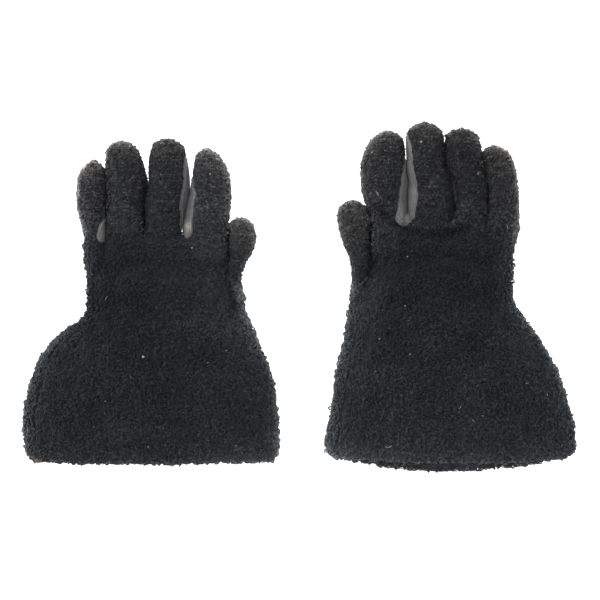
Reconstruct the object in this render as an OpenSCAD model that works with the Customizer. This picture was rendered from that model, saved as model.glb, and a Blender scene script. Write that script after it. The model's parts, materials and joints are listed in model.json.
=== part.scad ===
// Pair of five-finger gauntlet gloves for winter sports, lying flat, backs up.
// Each glove has a curly-pile back, a leather palm, leather fourchettes between the
// fingers, a wide flared pile gauntlet and a knitted liner.
// Plan frame of one glove: u runs towards the thumb, v towards the fingertips,
// both from the middle of the wrist. +Z is up, the rest plane is Z = 0.
// The left glove lies on the -X side with u along +X; the right glove is mirrored.

/* [Size] */
// Size of both gloves against the base pattern
size_k = 1; // [0.9:0.01:1.1]
// Distance between the two wrist centres
wrist_pitch = 226; // [222:1:260]
// How far the right glove lies ahead of the left one
right_ahead = 5.1; // [0:0.1:12]

/* [Heights] */
// Height of the gauntlet over its middle
cuff_h = 40; // [36:1:48]
// Height of the gauntlet at its side seams
cuff_side_h = 22; // [18:1:26]
// Height of the hand section over its middle
hand_h = 34; // [31:1:38]
// Height of the hand section at its side seams
hand_side_h = 21; // [18:1:24]
// Height of a finger over its middle
finger_h = 27; // [25:1:30]
// Height of a finger where its back meets the fourchettes
finger_side_h = 18; // [16:1:20]
// Height of the thumb over its middle
thumb_h = 25; // [24:1:28]

/* [Materials] */
// Thickness of the pile fabric, nap included
pile_t = 5; // [4:0.5:6]
// Thickness of the pile on the fingers, where it is shorter
finger_pile_t = 4; // [3:0.5:5]
// Thickness of the palm leather
leather_t = 2; // [1.5:0.1:2.5]
// Thickness of the finger side walls
side_t = 2.4; // [2:0.1:3]
// Thickness of the knitted liner
liner_t = 1.5; // [1:0.1:2]

/* [Motion] */
// Most a finger curls at the knuckle
knuckle_max = 75; // [60:1:75]
// Most a finger bends back at the knuckle
knuckle_back = 15; // [5:1:15]
// Most a fingertip curls at the middle joint
middle_max = 85; // [60:1:85]
// Most the thumb tip curls
thumb_tip_max = 70; // [40:1:70]
// Most the wrist bends either way
wrist_max = 35; // [20:1:35]
// Height of the finger hinge lines
hinge_z = 11; // [10:0.5:12]
// Height of the wrist hinge line
wrist_z = 16; // [14:0.5:18]

/* [Hidden] */
$fn = 32;
joint_gap = 0.35;     // half of the clearance where two moving sections meet
fold_spare = 1;       // degrees added to each side of a folding notch
finger_inset = 0.6;   // half of the clearance between neighbouring fingers
liner_gap = 0.2;      // clearance between liner and shell
liner_hem = 6;        // how far the liner starts inside the hem corners
fourchette_stop = 9;  // how far a fourchette ends short of the fingertip
top_z = 60;           // a height above everything
curve_steps = 4;      // pieces of curve between two stations
hem_steps = 16;       // straight pieces along the hem

pile_colour = [0.13, 0.135, 0.145];
leather_colour = [0.36, 0.36, 0.36];
liner_colour = [0.08, 0.08, 0.09];

// Names by index; tables below that depend on the glove hold the left one, then the right one
sides = ["left", "right"];
fingers = ["index", "middle", "ring", "little"];

body_parts = ["cuff_back", "cuff_palm", "cuff_liner", "hand_back", "hand_palm", "hand_liner"];
thumb_parts = ["base_back", "base_palm", "tip_back", "tip_palm"];
finger_parts = ["base_back", "base_palm", "base_fourchette", "tip_back", "tip_palm"];
NODES = concat(
  [for (side = sides) for (part = body_parts) str(side, "_", part)],
  [for (side = sides) for (part = thumb_parts) str(side, "_thumb_", part)],
  [for (side = sides) for (name = fingers) for (part = finger_parts) str(side, "_", name, "_", part)]
);
node = "all";

// ---- pattern tables -----------------------------------------------------
// Gauntlet and hand edge stations, hem first: [v, u at the little-finger side, u at the thumb side]
body_rows = [
  [[-130, -114.5, 94.0], [-124, -117.6, 96.1], [-110, -119.6, 96.2], [-97, -120.3, 96.1],
   [-80, -118.2, 94.3], [-66, -114.8, 92.2], [-51, -109.7, 87.6], [-40.8, -104.2, 83.3],
   [-30.6, -95.6, 78.8], [-20.4, -82.8, 75.6], [-12.8, -73.0, 72.4], [-5, -67.0, 69.0],
   [2, -66.0, 66.6], [8.5, -66.2, 64.0], [13.6, -66.3, 61.8], [20.4, -66.2, 57.6],
   [32, -66.2, 53.8], [44, -67.0, 52.4], [56, -68.6, 51.8]],
  [[-131, -120.3, 87.2], [-126, -122.6, 89.2], [-115, -122.4, 89.0], [-102, -121.0, 86.2],
   [-87, -116.6, 84.2], [-71, -111.3, 82.4], [-56, -105.2, 79.6], [-40.8, -96.9, 75.4],
   [-30.6, -90.4, 73.0], [-20.4, -82.0, 71.4], [-10.2, -74.4, 70.4], [-2, -69.6, 68.4],
   [8.5, -68.8, 65.0], [14, -68.8, 62.6], [22, -69.0, 58.2], [32, -69.4, 53.6],
   [51, -70.0, 50.4], [60, -71.2, 50.6], [66.5, -72.0, 51.0]]
];
// How far the hem bows out between its corners
hem_sag = [2.5, 12.8];

// Patterns of the fingers, in the order of their names: edge stations from the root up,
// [v, u little-finger side, u thumb side], then the top point [v, u]
finger_patterns = [
  [ // left glove
    [[[40, 19.8, 51.6], [60, 19.4, 51.9], [78, 18.6, 52.8], [94, 22.6, 54.5],
      [110, 23.4, 53.2], [120, 24.2, 49.4], [128, 25.8, 44.0]], [133.4, 34.2]],
    [[[40, -16.4, 16.4], [60, -16.4, 15.8], [86, -16.6, 18.4], [103, -14.6, 20.6],
      [120, -14.0, 19.0], [132, -12.6, 15.6], [138, -9.4, 11.4]], [141.8, 1.8]],
    [[[40, -50.6, -18.0], [60, -50.8, -18.2], [86, -50.2, -18.4], [107, -50.4, -17.2],
      [122, -49.8, -20.2], [132, -49.2, -24.6], [137.4, -45.6, -29.6]], [140.4, -38.0]],
    [[[40, -67.4, -52.6], [60, -68.6, -52.6], [72, -71.0, -51.4], [88, -74.4, -51.0],
      [106, -73.8, -51.6], [115, -70.4, -53.4], [120, -66.6, -56.8]], [123.4, -61.4]]
  ],
  [ // right glove
    [[[50, 21.4, 50.6], [70, 21.2, 51.4], [81, 20.6, 54.6], [94, 20.0, 57.8],
      [106, 21.4, 59.0], [119, 22.6, 57.8], [129, 23.4, 54.0], [138, 25.8, 48.6]], [143.6, 37.6]],
    [[[50, -17.4, 17.0], [70, -17.8, 17.2], [85, -18.6, 18.0], [94, -18.2, 18.8],
      [106, -15.6, 20.0], [119, -12.4, 20.8], [132, -11.0, 21.2], [143, -8.8, 19.6]], [150.8, 5.2]],
    [[[50, -45.6, -20.8], [70, -46.2, -20.4], [85, -47.0, -20.0], [98, -46.6, -18.6],
      [110, -45.0, -15.4], [123, -42.0, -13.2], [134, -40.4, -12.8], [141, -37.6, -14.8]],
     [145.8, -26.4]],
    [[[50, -71.0, -48.4], [70, -72.8, -48.8], [81, -73.2, -48.6], [94, -72.4, -47.6],
      [106, -71.4, -45.8], [117, -68.4, -44.4], [124, -64.6, -44.2]], [130.8, -53.0]]
  ]
];
// Patterns of the thumbs, in the same form
thumb_patterns = [
  [[[13.0, 63.4, 64.6], [20.0, 59.2, 65.2], [30.6, 55.6, 65.4], [38.2, 54.2, 67.0],
    [44.0, 53.6, 70.8], [50.6, 53.2, 74.2], [57.8, 53.0, 75.4], [64.6, 53.2, 74.0],
    [70.0, 55.4, 71.0]], [74.2, 64.6]],
  [[[14.0, 64.0, 65.2], [22.0, 59.6, 65.4], [28.0, 57.0, 65.8], [37.4, 54.6, 68.2],
    [46.0, 52.2, 71.6], [56.0, 51.6, 74.8], [66.0, 52.2, 77.4], [72.0, 53.4, 78.6],
    [79.0, 57.0, 76.6]], [84.0, 67.4]]
];
// Sides of each finger that carry a fourchette: -1 little-finger side, 1 thumb side
fourchette_sides = [[-1], [-1, 1], [-1, 1], [1]];

// ---- hinge lines --------------------------------------------------------
// Knuckle line, v
knuckle_v = [56, 66.5];
// Distance in v from the knuckle line to each finger's middle joint
middle_joint = [[34, 38, 37, 30], [34, 38, 36, 32]];
// Middle of each finger there, u
middle_joint_u = [[35.6, 0, -34.4, -60.6], [38, 1.5, -31.5, -59]];
// How far each finger's tip leans towards the thumb, in degrees
lean = [[0, 0, 0, 0], [0, 5, 9, 9]];
// Middle of the thumb joint
thumb_joint_v = [50, 57];
thumb_joint_u = 64;
// Free ends well past the hem, the thumb root and the fingertips, v
past_hem = -180;
past_thumb_root = -20;
past_tips = 170;

// A hinge line is [v, z, degrees kept clear below, degrees kept clear above, u, lean].
// Each of the two sections that meet there gives up half of the bend.
function fold(bend) = bend / 2 + fold_spare;
function free_end(v) = [v, 20, 0, 0, 0, 0];
function wrist_end() = [0, wrist_z, fold(wrist_max), fold(wrist_max), 0, 0];
function knuckle_end(side) =
  [knuckle_v[side], hinge_z, fold(knuckle_max), fold(knuckle_back), 0, 0];
function middle_end(side, finger) =
  [knuckle_v[side] + middle_joint[side][finger], hinge_z, fold(middle_max), fold(0),
   middle_joint_u[side][finger], lean[side][finger]];
function thumb_end(side) =
  [thumb_joint_v[side], hinge_z, fold(thumb_tip_max), fold(0), thumb_joint_u, 0];

// Everything on one side of a hinge line, less the notch that lets the section fold there:
// ahead = 1 keeps the side towards the fingertips, -1 the side towards the hem
module half(hinge, ahead) {
  z = hinge[1];
  reach = 400;
  width = 500;
  below = joint_gap + tan(hinge[2]) * (z + 1);
  above = joint_gap + tan(hinge[3]) * (top_z - z);
  translate([hinge[4], hinge[0], 0])
    rotate([0, 0, -hinge[5]])
      rotate([90, 0, 90])
        translate([0, 0, -width / 2])
          linear_extrude(height = width)
            polygon([[ahead * below, -1], [ahead * joint_gap, z], [ahead * above, top_z],
                     [ahead * reach, top_z], [ahead * reach, -1]]);
}
// What a section keeps between its two hinge lines
module keep(low, high) {
  intersection() {
    half(low, 1);
    half(high, -1);
  }
}
module cut_between(low, high) {
  intersection() {
    children();
    keep(low, high);
  }
}

// ---- curves -------------------------------------------------------------
// Catmull-Rom curve from b to c
function spline(a, b, c, d, t) =
  0.5 * (2 * b + (c - a) * t + (2 * a - 5 * b + 4 * c - d) * t * t
         + (3 * b - a - 3 * c + d) * t * t * t);
function smooth(points) =
  let (last = len(points) - 1)
  concat(
    [for (i = [0 : last - 1]) for (k = [0 : curve_steps - 1])
      spline(points[max(i - 1, 0)], points[i], points[i + 1], points[min(i + 2, last)],
             k / curve_steps)],
    [points[last]]);
function backwards(points) = [for (i = [len(points) - 1 : -1 : 0]) points[i]];
function little_edge(rows) = [for (row = rows) [row[1], row[0]]];
function thumb_edge(rows) = [for (row = rows) [row[2], row[0]]];
// Least and greatest coordinate of some points along one axis
function spread(points, axis) =
  let (values = [for (point = points) point[axis]]) [min(values), max(values)];

// Plan outline of gauntlet and hand. It runs on past the knuckles, where it is cut later,
// and past the hem by `more` where an opening is cut.
function body_outline(side, more = 0) =
  let (rows = body_rows[side], hem = rows[0], end = rows[len(rows) - 1], end_v = end[0] + 30)
  concat(
    more > 0 ? [[hem[1], hem[0] - more]] : [],
    smooth(little_edge(rows)),
    [[end[1], end_v], [end[2], end_v]],
    backwards(smooth(thumb_edge(rows))),
    more > 0 ? [[hem[2], hem[0] - more]] : [],
    [for (k = [1 : hem_steps - 1]) let (t = k / hem_steps)
      [hem[2] + (hem[1] - hem[2]) * t,
       hem[0] - more - hem_sag[side] * (1 - pow(2 * t - 1, 2))]]);
// Plan outline of a finger or thumb: up one edge, over the tip and down the other
function stall_outline(pattern) =
  let (rows = pattern[0], tip = pattern[1])
  smooth(concat(little_edge(rows), [[tip[1], tip[0]]], backwards(thumb_edge(rows))));

// Area under an arch from u = a to u = b, as a polygon down to z = -5
function arch(a, b, side_z, mid_z) = concat(
  [[a, -5]],
  [for (k = [0 : 16]) let (across = sin(90 * (k / 8 - 1)))
    [(a + b) / 2 + (b - a) / 2 * across,
     side_z + (mid_z - side_z) * sqrt(1 - across * across * 0.98)]],
  [[b, -5]]);

// ---- solids -------------------------------------------------------------
module prism(points, z0, z1, grow = 0) {
  translate([0, 0, z0])
    linear_extrude(height = z1 - z0)
      if (grow == 0) polygon(points);
      else offset(delta = grow) polygon(points);
}
// Solid under an arch, for the whole length of the glove
module under(a, b, side_z, mid_z) {
  translate([0, 220, 0])
    rotate([90, 0, 0])
      linear_extrude(height = 440) polygon(arch(a, b, side_z, mid_z));
}
// Layer wider than a glove, from z up
module layer(z, height = top_z) {
  translate([-200, -200, z]) cube([400, 400, height]);
}

// Places a glove. The pair's plan box is centred on the origin.
low_v = min(spread(body_outline(0), 1)[0], spread(body_outline(1), 1)[0] + right_ahead);
high_v = spread(stall_outline(finger_patterns[1][1]), 1)[1] + right_ahead - finger_inset;
centre = [(spread(body_outline(1), 0)[0] - spread(body_outline(0), 0)[0]) / 2,
          -(low_v + high_v) / 2];
module glove(side) {
  scale(size_k)
    translate([centre[0] + (side == 0 ? -1 : 1) * wrist_pitch / 2,
               centre[1] + (side == 0 ? 0 : right_ahead), 0])
      mirror([side, 0, 0]) children();
}

// ---- gauntlet and hand --------------------------------------------------
// Values by section: gauntlet, then hand
cuff = 0;
hand = 1;
floor_t = [pile_t, leather_t];
body_h = [cuff_h, hand_h];
body_side_h = [cuff_side_h, hand_side_h];
arch_row = [2, 16];             // body row that sets the width of the arch
arch_margin = [[2, 2], [4, 18]];  // arch beyond that row: [little-finger side, thumb side]
opening = [25, 0];              // how far the cavity runs out past the hem

module body_volume(section, side, shrink = 0) {
  row = body_rows[side][arch_row[section]];
  margin = arch_margin[section];
  intersection() {
    prism(body_outline(side, shrink > 0 ? opening[section] : 0), -2, top_z, -shrink);
    under(row[1] - margin[0], row[2] + margin[1],
          body_side_h[section] - shrink, body_h[section] - shrink);
  }
}
// Room inside the pile and the floor, or further in by `extra`
module cavity(section, side, extra = 0) {
  intersection() {
    body_volume(section, side, pile_t + extra);
    layer(floor_t[section] + extra);
  }
}
// The part of the shell between two heights; its child is the length to keep
module shell(section, side, z0, z1) {
  intersection() {
    difference() {
      body_volume(section, side);
      cavity(section, side);
    }
    layer(z0, z1 - z0);
    children();
  }
}
// Liner of a section; its child is the length to keep
module liner(section, side) {
  intersection() {
    difference() {
      cavity(section, side, liner_gap);
      cavity(section, side, liner_gap + liner_t);
    }
    children();
  }
}

module cuff_back(side) {
  color(pile_colour) glove(side)
    shell(cuff, side, floor_t[cuff], top_z) keep(free_end(past_hem), wrist_end());
}
module cuff_palm(side) {
  color(pile_colour) glove(side)
    shell(cuff, side, 0, floor_t[cuff]) keep(free_end(past_hem), wrist_end());
}
module cuff_liner(side) {
  color(liner_colour) glove(side)
    liner(cuff, side) keep(free_end(body_rows[side][0][0] + liner_hem), wrist_end());
}
module hand_back(side) {
  color(pile_colour) glove(side)
    shell(hand, side, floor_t[hand], top_z) keep(wrist_end(), knuckle_end(side));
}
module hand_palm(side) {
  color(leather_colour) glove(side)
    shell(hand, side, 0, floor_t[hand]) keep(wrist_end(), knuckle_end(side));
}
module hand_liner(side) {
  color(liner_colour) glove(side)
    liner(hand, side) keep(wrist_end(), knuckle_end(side));
}

// ---- fingers and thumb --------------------------------------------------
// A stall is a whole finger or thumb, cut at its hinge lines later:
// [pattern, height over its middle, sides with a fourchette]
function finger_stall(side, finger) =
  [finger_patterns[side][finger], finger_h, fourchette_sides[finger]];
function thumb_stall(side) = [thumb_patterns[side], thumb_h, []];

stall_reach = 60;  // plan reach of the cutting blocks from the middle of a stall

// Solid under the back of a stall, lowered by `drop` and wider than its outline by `margin`
module stall_under(stall, drop, margin) {
  ends = spread(stall_outline(stall[0]), 0);
  under(ends[0] - margin, ends[1] + margin, finger_side_h - drop, stall[1] - drop);
}
module stall_floor(stall) {
  prism(stall_outline(stall[0]), 0, leather_t, -finger_inset);
}
// Arched top of a stall
module stall_plate(stall) {
  difference() {
    intersection() {
      prism(stall_outline(stall[0]), leather_t, top_z, -finger_inset);
      stall_under(stall, 0, 1);
    }
    stall_under(stall, finger_pile_t, 2);
  }
}
// Middle of a stall near its root, u
function stall_middle(stall) = let (row = stall[0][0][1]) (row[1] + row[2]) / 2;
// Blocks over the walls that are fourchettes, larger by `more` where they are cut away
module fourchette_blocks(stall, more = 0) {
  middle = stall_middle(stall);
  stop_v = stall[0][1][0] - fourchette_stop;
  for (direction = stall[2])
    translate([direction < 0 ? middle - stall_reach : middle, -stall_reach - more, -more])
      cube([stall_reach, stop_v + stall_reach + more, top_z + 2 * more]);
}
// Side walls under the top: the leather fourchettes, or the rest, which is pile
module stall_walls(stall, leather) {
  points = stall_outline(stall[0]);
  intersection() {
    difference() {
      prism(points, leather_t, top_z, -finger_inset);
      prism(points, 0, top_z + 1, -finger_inset - side_t);
    }
    stall_under(stall, finger_pile_t, 2);
    if (leather) union() {
      fourchette_blocks(stall);
    }
    if (!leather) difference() {
      translate([stall_middle(stall) - stall_reach, -stall_reach, 0])
        cube([2 * stall_reach, 300, top_z]);
      fourchette_blocks(stall, 1);
    }
  }
}
module stall_back(stall) {
  union() {
    stall_plate(stall);
    stall_walls(stall, leather = false);
  }
}

module base_back(side, finger) {
  color(pile_colour) glove(side)
    cut_between(knuckle_end(side), middle_end(side, finger))
      stall_back(finger_stall(side, finger));
}
module base_palm(side, finger) {
  color(leather_colour) glove(side)
    cut_between(knuckle_end(side), middle_end(side, finger))
      stall_floor(finger_stall(side, finger));
}
module base_fourchette(side, finger) {
  color(leather_colour) glove(side)
    cut_between(knuckle_end(side), middle_end(side, finger))
      stall_walls(finger_stall(side, finger), leather = true);
}
module tip_back(side, finger) {
  color(pile_colour) glove(side)
    cut_between(middle_end(side, finger), free_end(past_tips))
      stall_back(finger_stall(side, finger));
}
module tip_palm(side, finger) {
  color(leather_colour) glove(side)
    cut_between(middle_end(side, finger), free_end(past_tips))
      union() {
        stall_floor(finger_stall(side, finger));
        stall_walls(finger_stall(side, finger), leather = true);
      }
}

module thumb_base_back(side) {
  color(pile_colour) glove(side)
    cut_between(free_end(past_thumb_root), thumb_end(side)) stall_back(thumb_stall(side));
}
module thumb_base_palm(side) {
  color(leather_colour) glove(side)
    cut_between(free_end(past_thumb_root), thumb_end(side)) stall_floor(thumb_stall(side));
}
module thumb_tip_back(side) {
  color(pile_colour) glove(side)
    cut_between(thumb_end(side), free_end(past_tips)) stall_back(thumb_stall(side));
}
module thumb_tip_palm(side) {
  color(leather_colour) glove(side)
    cut_between(thumb_end(side), free_end(past_tips)) stall_floor(thumb_stall(side));
}

// ---- nodes --------------------------------------------------------------
function wants(owner, part) = node == "all" || node == str(owner, "_", part);
for (side = [0, 1]) {
  name = sides[side];
  if (wants(name, "cuff_back")) cuff_back(side);
  if (wants(name, "cuff_palm")) cuff_palm(side);
  if (wants(name, "cuff_liner")) cuff_liner(side);
  if (wants(name, "hand_back")) hand_back(side);
  if (wants(name, "hand_palm")) hand_palm(side);
  if (wants(name, "hand_liner")) hand_liner(side);
  if (wants(name, "thumb_base_back")) thumb_base_back(side);
  if (wants(name, "thumb_base_palm")) thumb_base_palm(side);
  if (wants(name, "thumb_tip_back")) thumb_tip_back(side);
  if (wants(name, "thumb_tip_palm")) thumb_tip_palm(side);
  for (finger = [0 : 3]) {
    owner = str(name, "_", fingers[finger]);
    if (wants(owner, "base_back")) base_back(side, finger);
    if (wants(owner, "base_palm")) base_palm(side, finger);
    if (wants(owner, "base_fourchette")) base_fourchette(side, finger);
    if (wants(owner, "tip_back")) tip_back(side, finger);
    if (wants(owner, "tip_palm")) tip_palm(side, finger);
  }
}
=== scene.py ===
import json
import math
import bpy
import numpy as np
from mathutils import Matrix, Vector

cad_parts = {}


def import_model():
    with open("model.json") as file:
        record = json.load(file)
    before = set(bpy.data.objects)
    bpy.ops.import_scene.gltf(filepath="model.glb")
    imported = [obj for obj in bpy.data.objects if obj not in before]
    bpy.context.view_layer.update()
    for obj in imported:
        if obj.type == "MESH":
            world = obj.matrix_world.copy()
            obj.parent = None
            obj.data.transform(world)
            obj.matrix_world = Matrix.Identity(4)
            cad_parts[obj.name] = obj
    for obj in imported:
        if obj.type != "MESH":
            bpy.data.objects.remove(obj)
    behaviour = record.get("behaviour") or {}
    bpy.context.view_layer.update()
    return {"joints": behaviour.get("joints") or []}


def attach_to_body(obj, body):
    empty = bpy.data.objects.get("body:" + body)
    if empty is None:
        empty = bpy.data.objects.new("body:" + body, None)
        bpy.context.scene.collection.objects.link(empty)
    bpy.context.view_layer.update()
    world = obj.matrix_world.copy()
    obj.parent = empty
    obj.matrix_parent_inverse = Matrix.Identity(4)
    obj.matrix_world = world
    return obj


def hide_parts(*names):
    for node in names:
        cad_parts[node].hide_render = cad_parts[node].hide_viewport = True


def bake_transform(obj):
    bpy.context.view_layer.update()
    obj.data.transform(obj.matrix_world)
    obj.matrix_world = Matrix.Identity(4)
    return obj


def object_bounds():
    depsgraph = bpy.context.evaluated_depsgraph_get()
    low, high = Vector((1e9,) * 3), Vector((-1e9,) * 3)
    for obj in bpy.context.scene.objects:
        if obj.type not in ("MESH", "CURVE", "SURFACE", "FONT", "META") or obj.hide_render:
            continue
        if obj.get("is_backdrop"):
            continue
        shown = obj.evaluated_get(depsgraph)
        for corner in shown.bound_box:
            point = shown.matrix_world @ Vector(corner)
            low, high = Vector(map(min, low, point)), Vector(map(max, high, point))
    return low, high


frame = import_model()


H = 1.0        # grid step of the skins, mm
JOINTS = {j["name"]: j for j in frame["joints"]}
SIDES = ["left", "right"]
FINGERS = ["index", "middle", "ring", "little"]

# ------------------------------------------------------------------ plan of the gloves
# u runs towards the thumb and v towards the fingertips, in mm from the middle of the wrist.
BODY = [
    [[-131, -114.3, 92.6], [-124, -118.4, 95.2], [-110, -120.3, 95.2], [-97, -120.8, 95.1], [-80, -118.6, 93.3],
     [-66, -115.0, 91.2], [-51, -109.7, 86.6], [-40.8, -104.2, 82.3], [-30.6, -95.6, 77.9], [-20.4, -82.8, 74.4],
     [-12.8, -72.0, 70.8], [-5, -66.8, 66.6], [2, -66.4, 64.4], [8.5, -66.4, 62.8], [13.6, -66.3, 61.4],
     [20.4, -66.0, 58.6], [27, -65.8, 54.8], [36, -66.2, 53.0], [46, -67.2, 52.0], [58, -68.8, 51.3], [70, -69.4, 51.3]],
    [[-133, -118.9, 85.8], [-126, -122.2, 89.4], [-115, -122.0, 89.0], [-102, -120.4, 86.2], [-87, -115.8, 83.8],
     [-71, -110.3, 82.0], [-56, -104.2, 79.2], [-40.8, -96.0, 75.0], [-30.6, -89.4, 72.6], [-20.4, -81.0, 71.0],
     [-10.2, -73.6, 70.0], [-2, -69.0, 68.0], [8.5, -68.4, 66.0], [14, -68.4, 64.4], [20, -68.2, 60.0],
     [25, -68.6, 56.4], [34, -68.8, 53.0], [51, -69.2, 50.2], [60, -70.4, 50.2], [76, -71.6, 51.0]],
]
# hem line: v at the corners, how far it bows out for the upper and for the under layer
HEM = [[-129.8, 1.4, 3.0], [-130.8, 4.6, 13.4]]
FINGER = [
    [
        [[[40, 15.4, 51.2], [60, 14.8, 51.5], [66, 14.4, 51.8], [75, 15.9, 52.6], [86, 17.5, 53.6], [94, 20.0, 54.2], [102, 21.2, 54.0], [110, 22.6, 53.0], [120, 24.2, 49.6], [128, 26.4, 44.4]], [133.4, 34.2]],
        [[[40, -17.6, 12.8], [60, -17.9, 12.8], [66, -18.2, 13.3], [75, -18.6, 15.0], [86, -18.2, 17.0], [95, -17.4, 19.2], [103, -15.0, 20.0], [112, -14.2, 19.6], [120, -14.3, 18.4], [132, -12.6, 15.4], [138, -9.0, 11.0]], [141.8, 1.8]],
        [[[40, -50.6, -18.0], [60, -50.8, -18.2], [73, -50.6, -18.9], [86, -50.4, -18.6], [95, -50.5, -17.8], [103, -50.6, -16.0], [108, -50.6, -16.6], [114, -50.6, -17.9], [122, -50.2, -20.2], [132, -49.2, -24.4], [137.4, -45.2, -30.0]], [140.4, -38.0]],
        [[[40, -67.4, -51.2], [60, -68.6, -51.0], [72, -71.4, -51.2], [88, -74.8, -51.1], [106, -74.0, -51.6], [115, -70.6, -53.2], [120, -66.6, -56.4]], [123.4, -61.4]],
    ],
    [
        [[[50, 21.0, 50.6], [70, 21.0, 51.4], [85, 20.7, 55.8], [94, 20.5, 58.2], [99, 19.8, 58.8], [106, 20.6, 59.2], [112, 21.4, 58.8], [119, 22.3, 58.0], [129, 23.2, 54.4], [138, 25.8, 48.6]], [143.6, 37.6]],
        [[[50, -18.6, 20.4], [70, -18.9, 20.5], [85, -19.3, 20.2], [94, -18.5, 19.9], [99, -17.7, 19.2], [105, -15.9, 20.0], [113, -12.4, 21.0], [121.8, -10.9, 20.9], [132, -10.1, 21.2], [143, -8.0, 19.8]], [150.8, 5.2]],
        [[[50, -45.8, -19.2], [70, -46.3, -19.3], [85, -46.9, -19.6], [94, -46.8, -18.9], [99, -46.5, -18.0], [105, -45.7, -16.2], [113, -44.2, -12.8], [123, -42.0, -11.6], [134, -40.4, -12.2], [141, -37.6, -14.4]], [145.8, -26.4]],
        [[[50, -71.0, -46.4], [70, -72.8, -46.7], [81, -73.4, -47.2], [94, -72.6, -47.1], [104, -71.6, -46.1], [114, -69.6, -44.6], [121, -66.6, -43.2], [125, -64.2, -43.4]], [130.8, -53.0]],
    ],
]
THUMB = [
    [[[2.0, 60.0, 63.8], [13.0, 57.0, 62.4], [20.0, 55.0, 62.0], [30.6, 54.4, 63.4], [38.2, 54.0, 66.2], [44.0, 53.6, 69.8], [50.6, 53.6, 73.0], [57.8, 53.6, 74.4], [64.6, 54.0, 73.4], [70.0, 55.6, 71.0]], [74.2, 64.6]],
    [[[2.0, 62.0, 67.0], [14.0, 58.0, 65.8], [22.0, 55.6, 65.6], [28.0, 54.6, 66.0], [37.4, 53.4, 68.4], [46.0, 52.2, 71.8], [56.0, 51.8, 75.0], [66.0, 52.2, 77.8], [72.0, 53.4, 79.0], [79.0, 57.0, 76.8]], [84.0, 67.4]],
]
# where one finger is free of its neighbours and the knuckle fold may start, and how long the fold is
CUT = [[60.5, 63.0, 63.0, 57.5], [67.0, 72.6, 74.0, 74.0]]
FOLD = [[15, 15, 15, 14], [16, 16, 15, 12.5]]
CROTCH = [[55.4, 27.0], [55.4, 23.6]]
CROTCH_N = [[0.725, 0.69], [0.725, 0.69]]
CROTCH_FOLD = [9.0, 13.0]
BODY_END = [[[-70, 52.5], [-52, 52.5], [-34, 58.5], [-17, 58.8], [0, 58.0], [18, 56.2], [36, 56.0], [60, 54]],
            [[-74, 68], [-47, 68.5], [-33, 68.5], [-20, 67.5], [0, 66], [20, 62.5], [36, 62.5], [60, 60]]]
# plan width of leather that shows beside each finger, [v, little-finger side, thumb side]; below zero the pile goes on down the side
STRIP = [
    [
        [[58, 0.2, -3], [60, 3.0, -3], [62, 6.0, -3], [66.5, 7.7, -3], [75, 7.0, -3], [86, 6.2, -3], [94.6, 5.9, -3], [101, 3.4, -3], [107, 2.0, -3], [112, 0.4, -3], [118, -2, -3], [124, -3, -3]],
        [[60, 0.3, 0.2], [66.5, 0.4, 1.5], [75, 0.4, 3.0], [83.5, 0.4, 4.5], [94.6, 0.3, 5.9], [103, 0, 4.9], [112, -0.6, 4.4], [119, -2, 3.2], [126, -3, 1.4], [131, -3, -0.5], [134, -3, -3]],
        [[54, 0.5, -1], [57, 1.3, -1], [60, 1.6, 0], [70, 1.2, 0.3], [82, 0.9, 0.4], [92, 0.4, 0.3], [106, -1, -0.6], [118, -3, -3]],
        [[54, -3, 0.8], [56, -3, 4.6], [59, -3, 6.5], [62, -3, 6.3], [66, -3, 5.5], [70, -3, 4.2], [74, -3, 1.8], [80, -3, 0.4], [86, -3, 0.2], [100, -3, -1], [112, -3, -3]],
    ],
    [
        [[66, -3, -3], [69, 3.5, -3], [72.5, 8.4, -3], [77, 8.0, -3], [85, 7.4, -3], [94, 6.7, -3], [102, 6.0, -3], [111, 3.5, -3], [119, 1.8, -3], [124, 0.0, -3], [130, -3, -3]],
        [[65, 1, -3], [68, 0.8, 0.5], [72, 0.8, 5.2], [76, 0.8, 6.4], [83, 1.0, 7.4], [90, 1.2, 8.1], [96, 1.2, 6.8], [106.5, 1.2, 5.7], [119, 0.2, 4.7], [128, -1, 4.0], [136, -3, 3.0], [142, -3, 0.6], [146, -3, -3]],
        [[70, 0.9, 1.2], [78, 1.1, 0.8], [90, 1.2, 1.6], [102, 0.8, 1.4], [112, 0.3, 0.8], [122, -1, -0.5], [134, -3, -3]],
        [[70, -3, 0.8], [80, -3, 1.2], [92, -3, 1.2], [102, -3, 0.8], [112, -3, 0.2], [120, -3, -3]],
    ],
]
# leather webs in the valleys: u, v, half width, half length, wear
WEB = [
    [[18.3, 66.6, 4.4, 8.2, 1.0], [-54.4, 59.8, 3.6, 4.9, 0.25], [-18.2, 64.0, 1.0, 3.0, 0.0]],
    [[22.1, 72.4, 7.6, 7.5, 0.08], [-19.0, 73.4, 1.4, 4.2, 0.1], [-46.8, 75.6, 1.3, 4.0, 0.15]],
]
SLIT = [[18.6, 71.0], [20.4, 74.0]]
# leather drawn tight across the end of a slit: u, v, half width, half length, middle height, half height
BRIDGE = [[], [[21.6, 67.0, 6.2, 6.0, 12.0, 9.5]]]
# creases where the pile sinks: points u, v, then width, depth, and the painted shade that darkens the crease
CREASE = [
    [([[64, 33], [59, 22], [56, 8], [57, -6]], 4.5, 1.2, 0.22)],
    [([[45, 77], [38, 70], [30, 64.5], [18.7, 59.0], [1.7, 54.8], [-15, 56.5], [-30, 61]], 5.0, 2.6, 0.50)],
]


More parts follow.
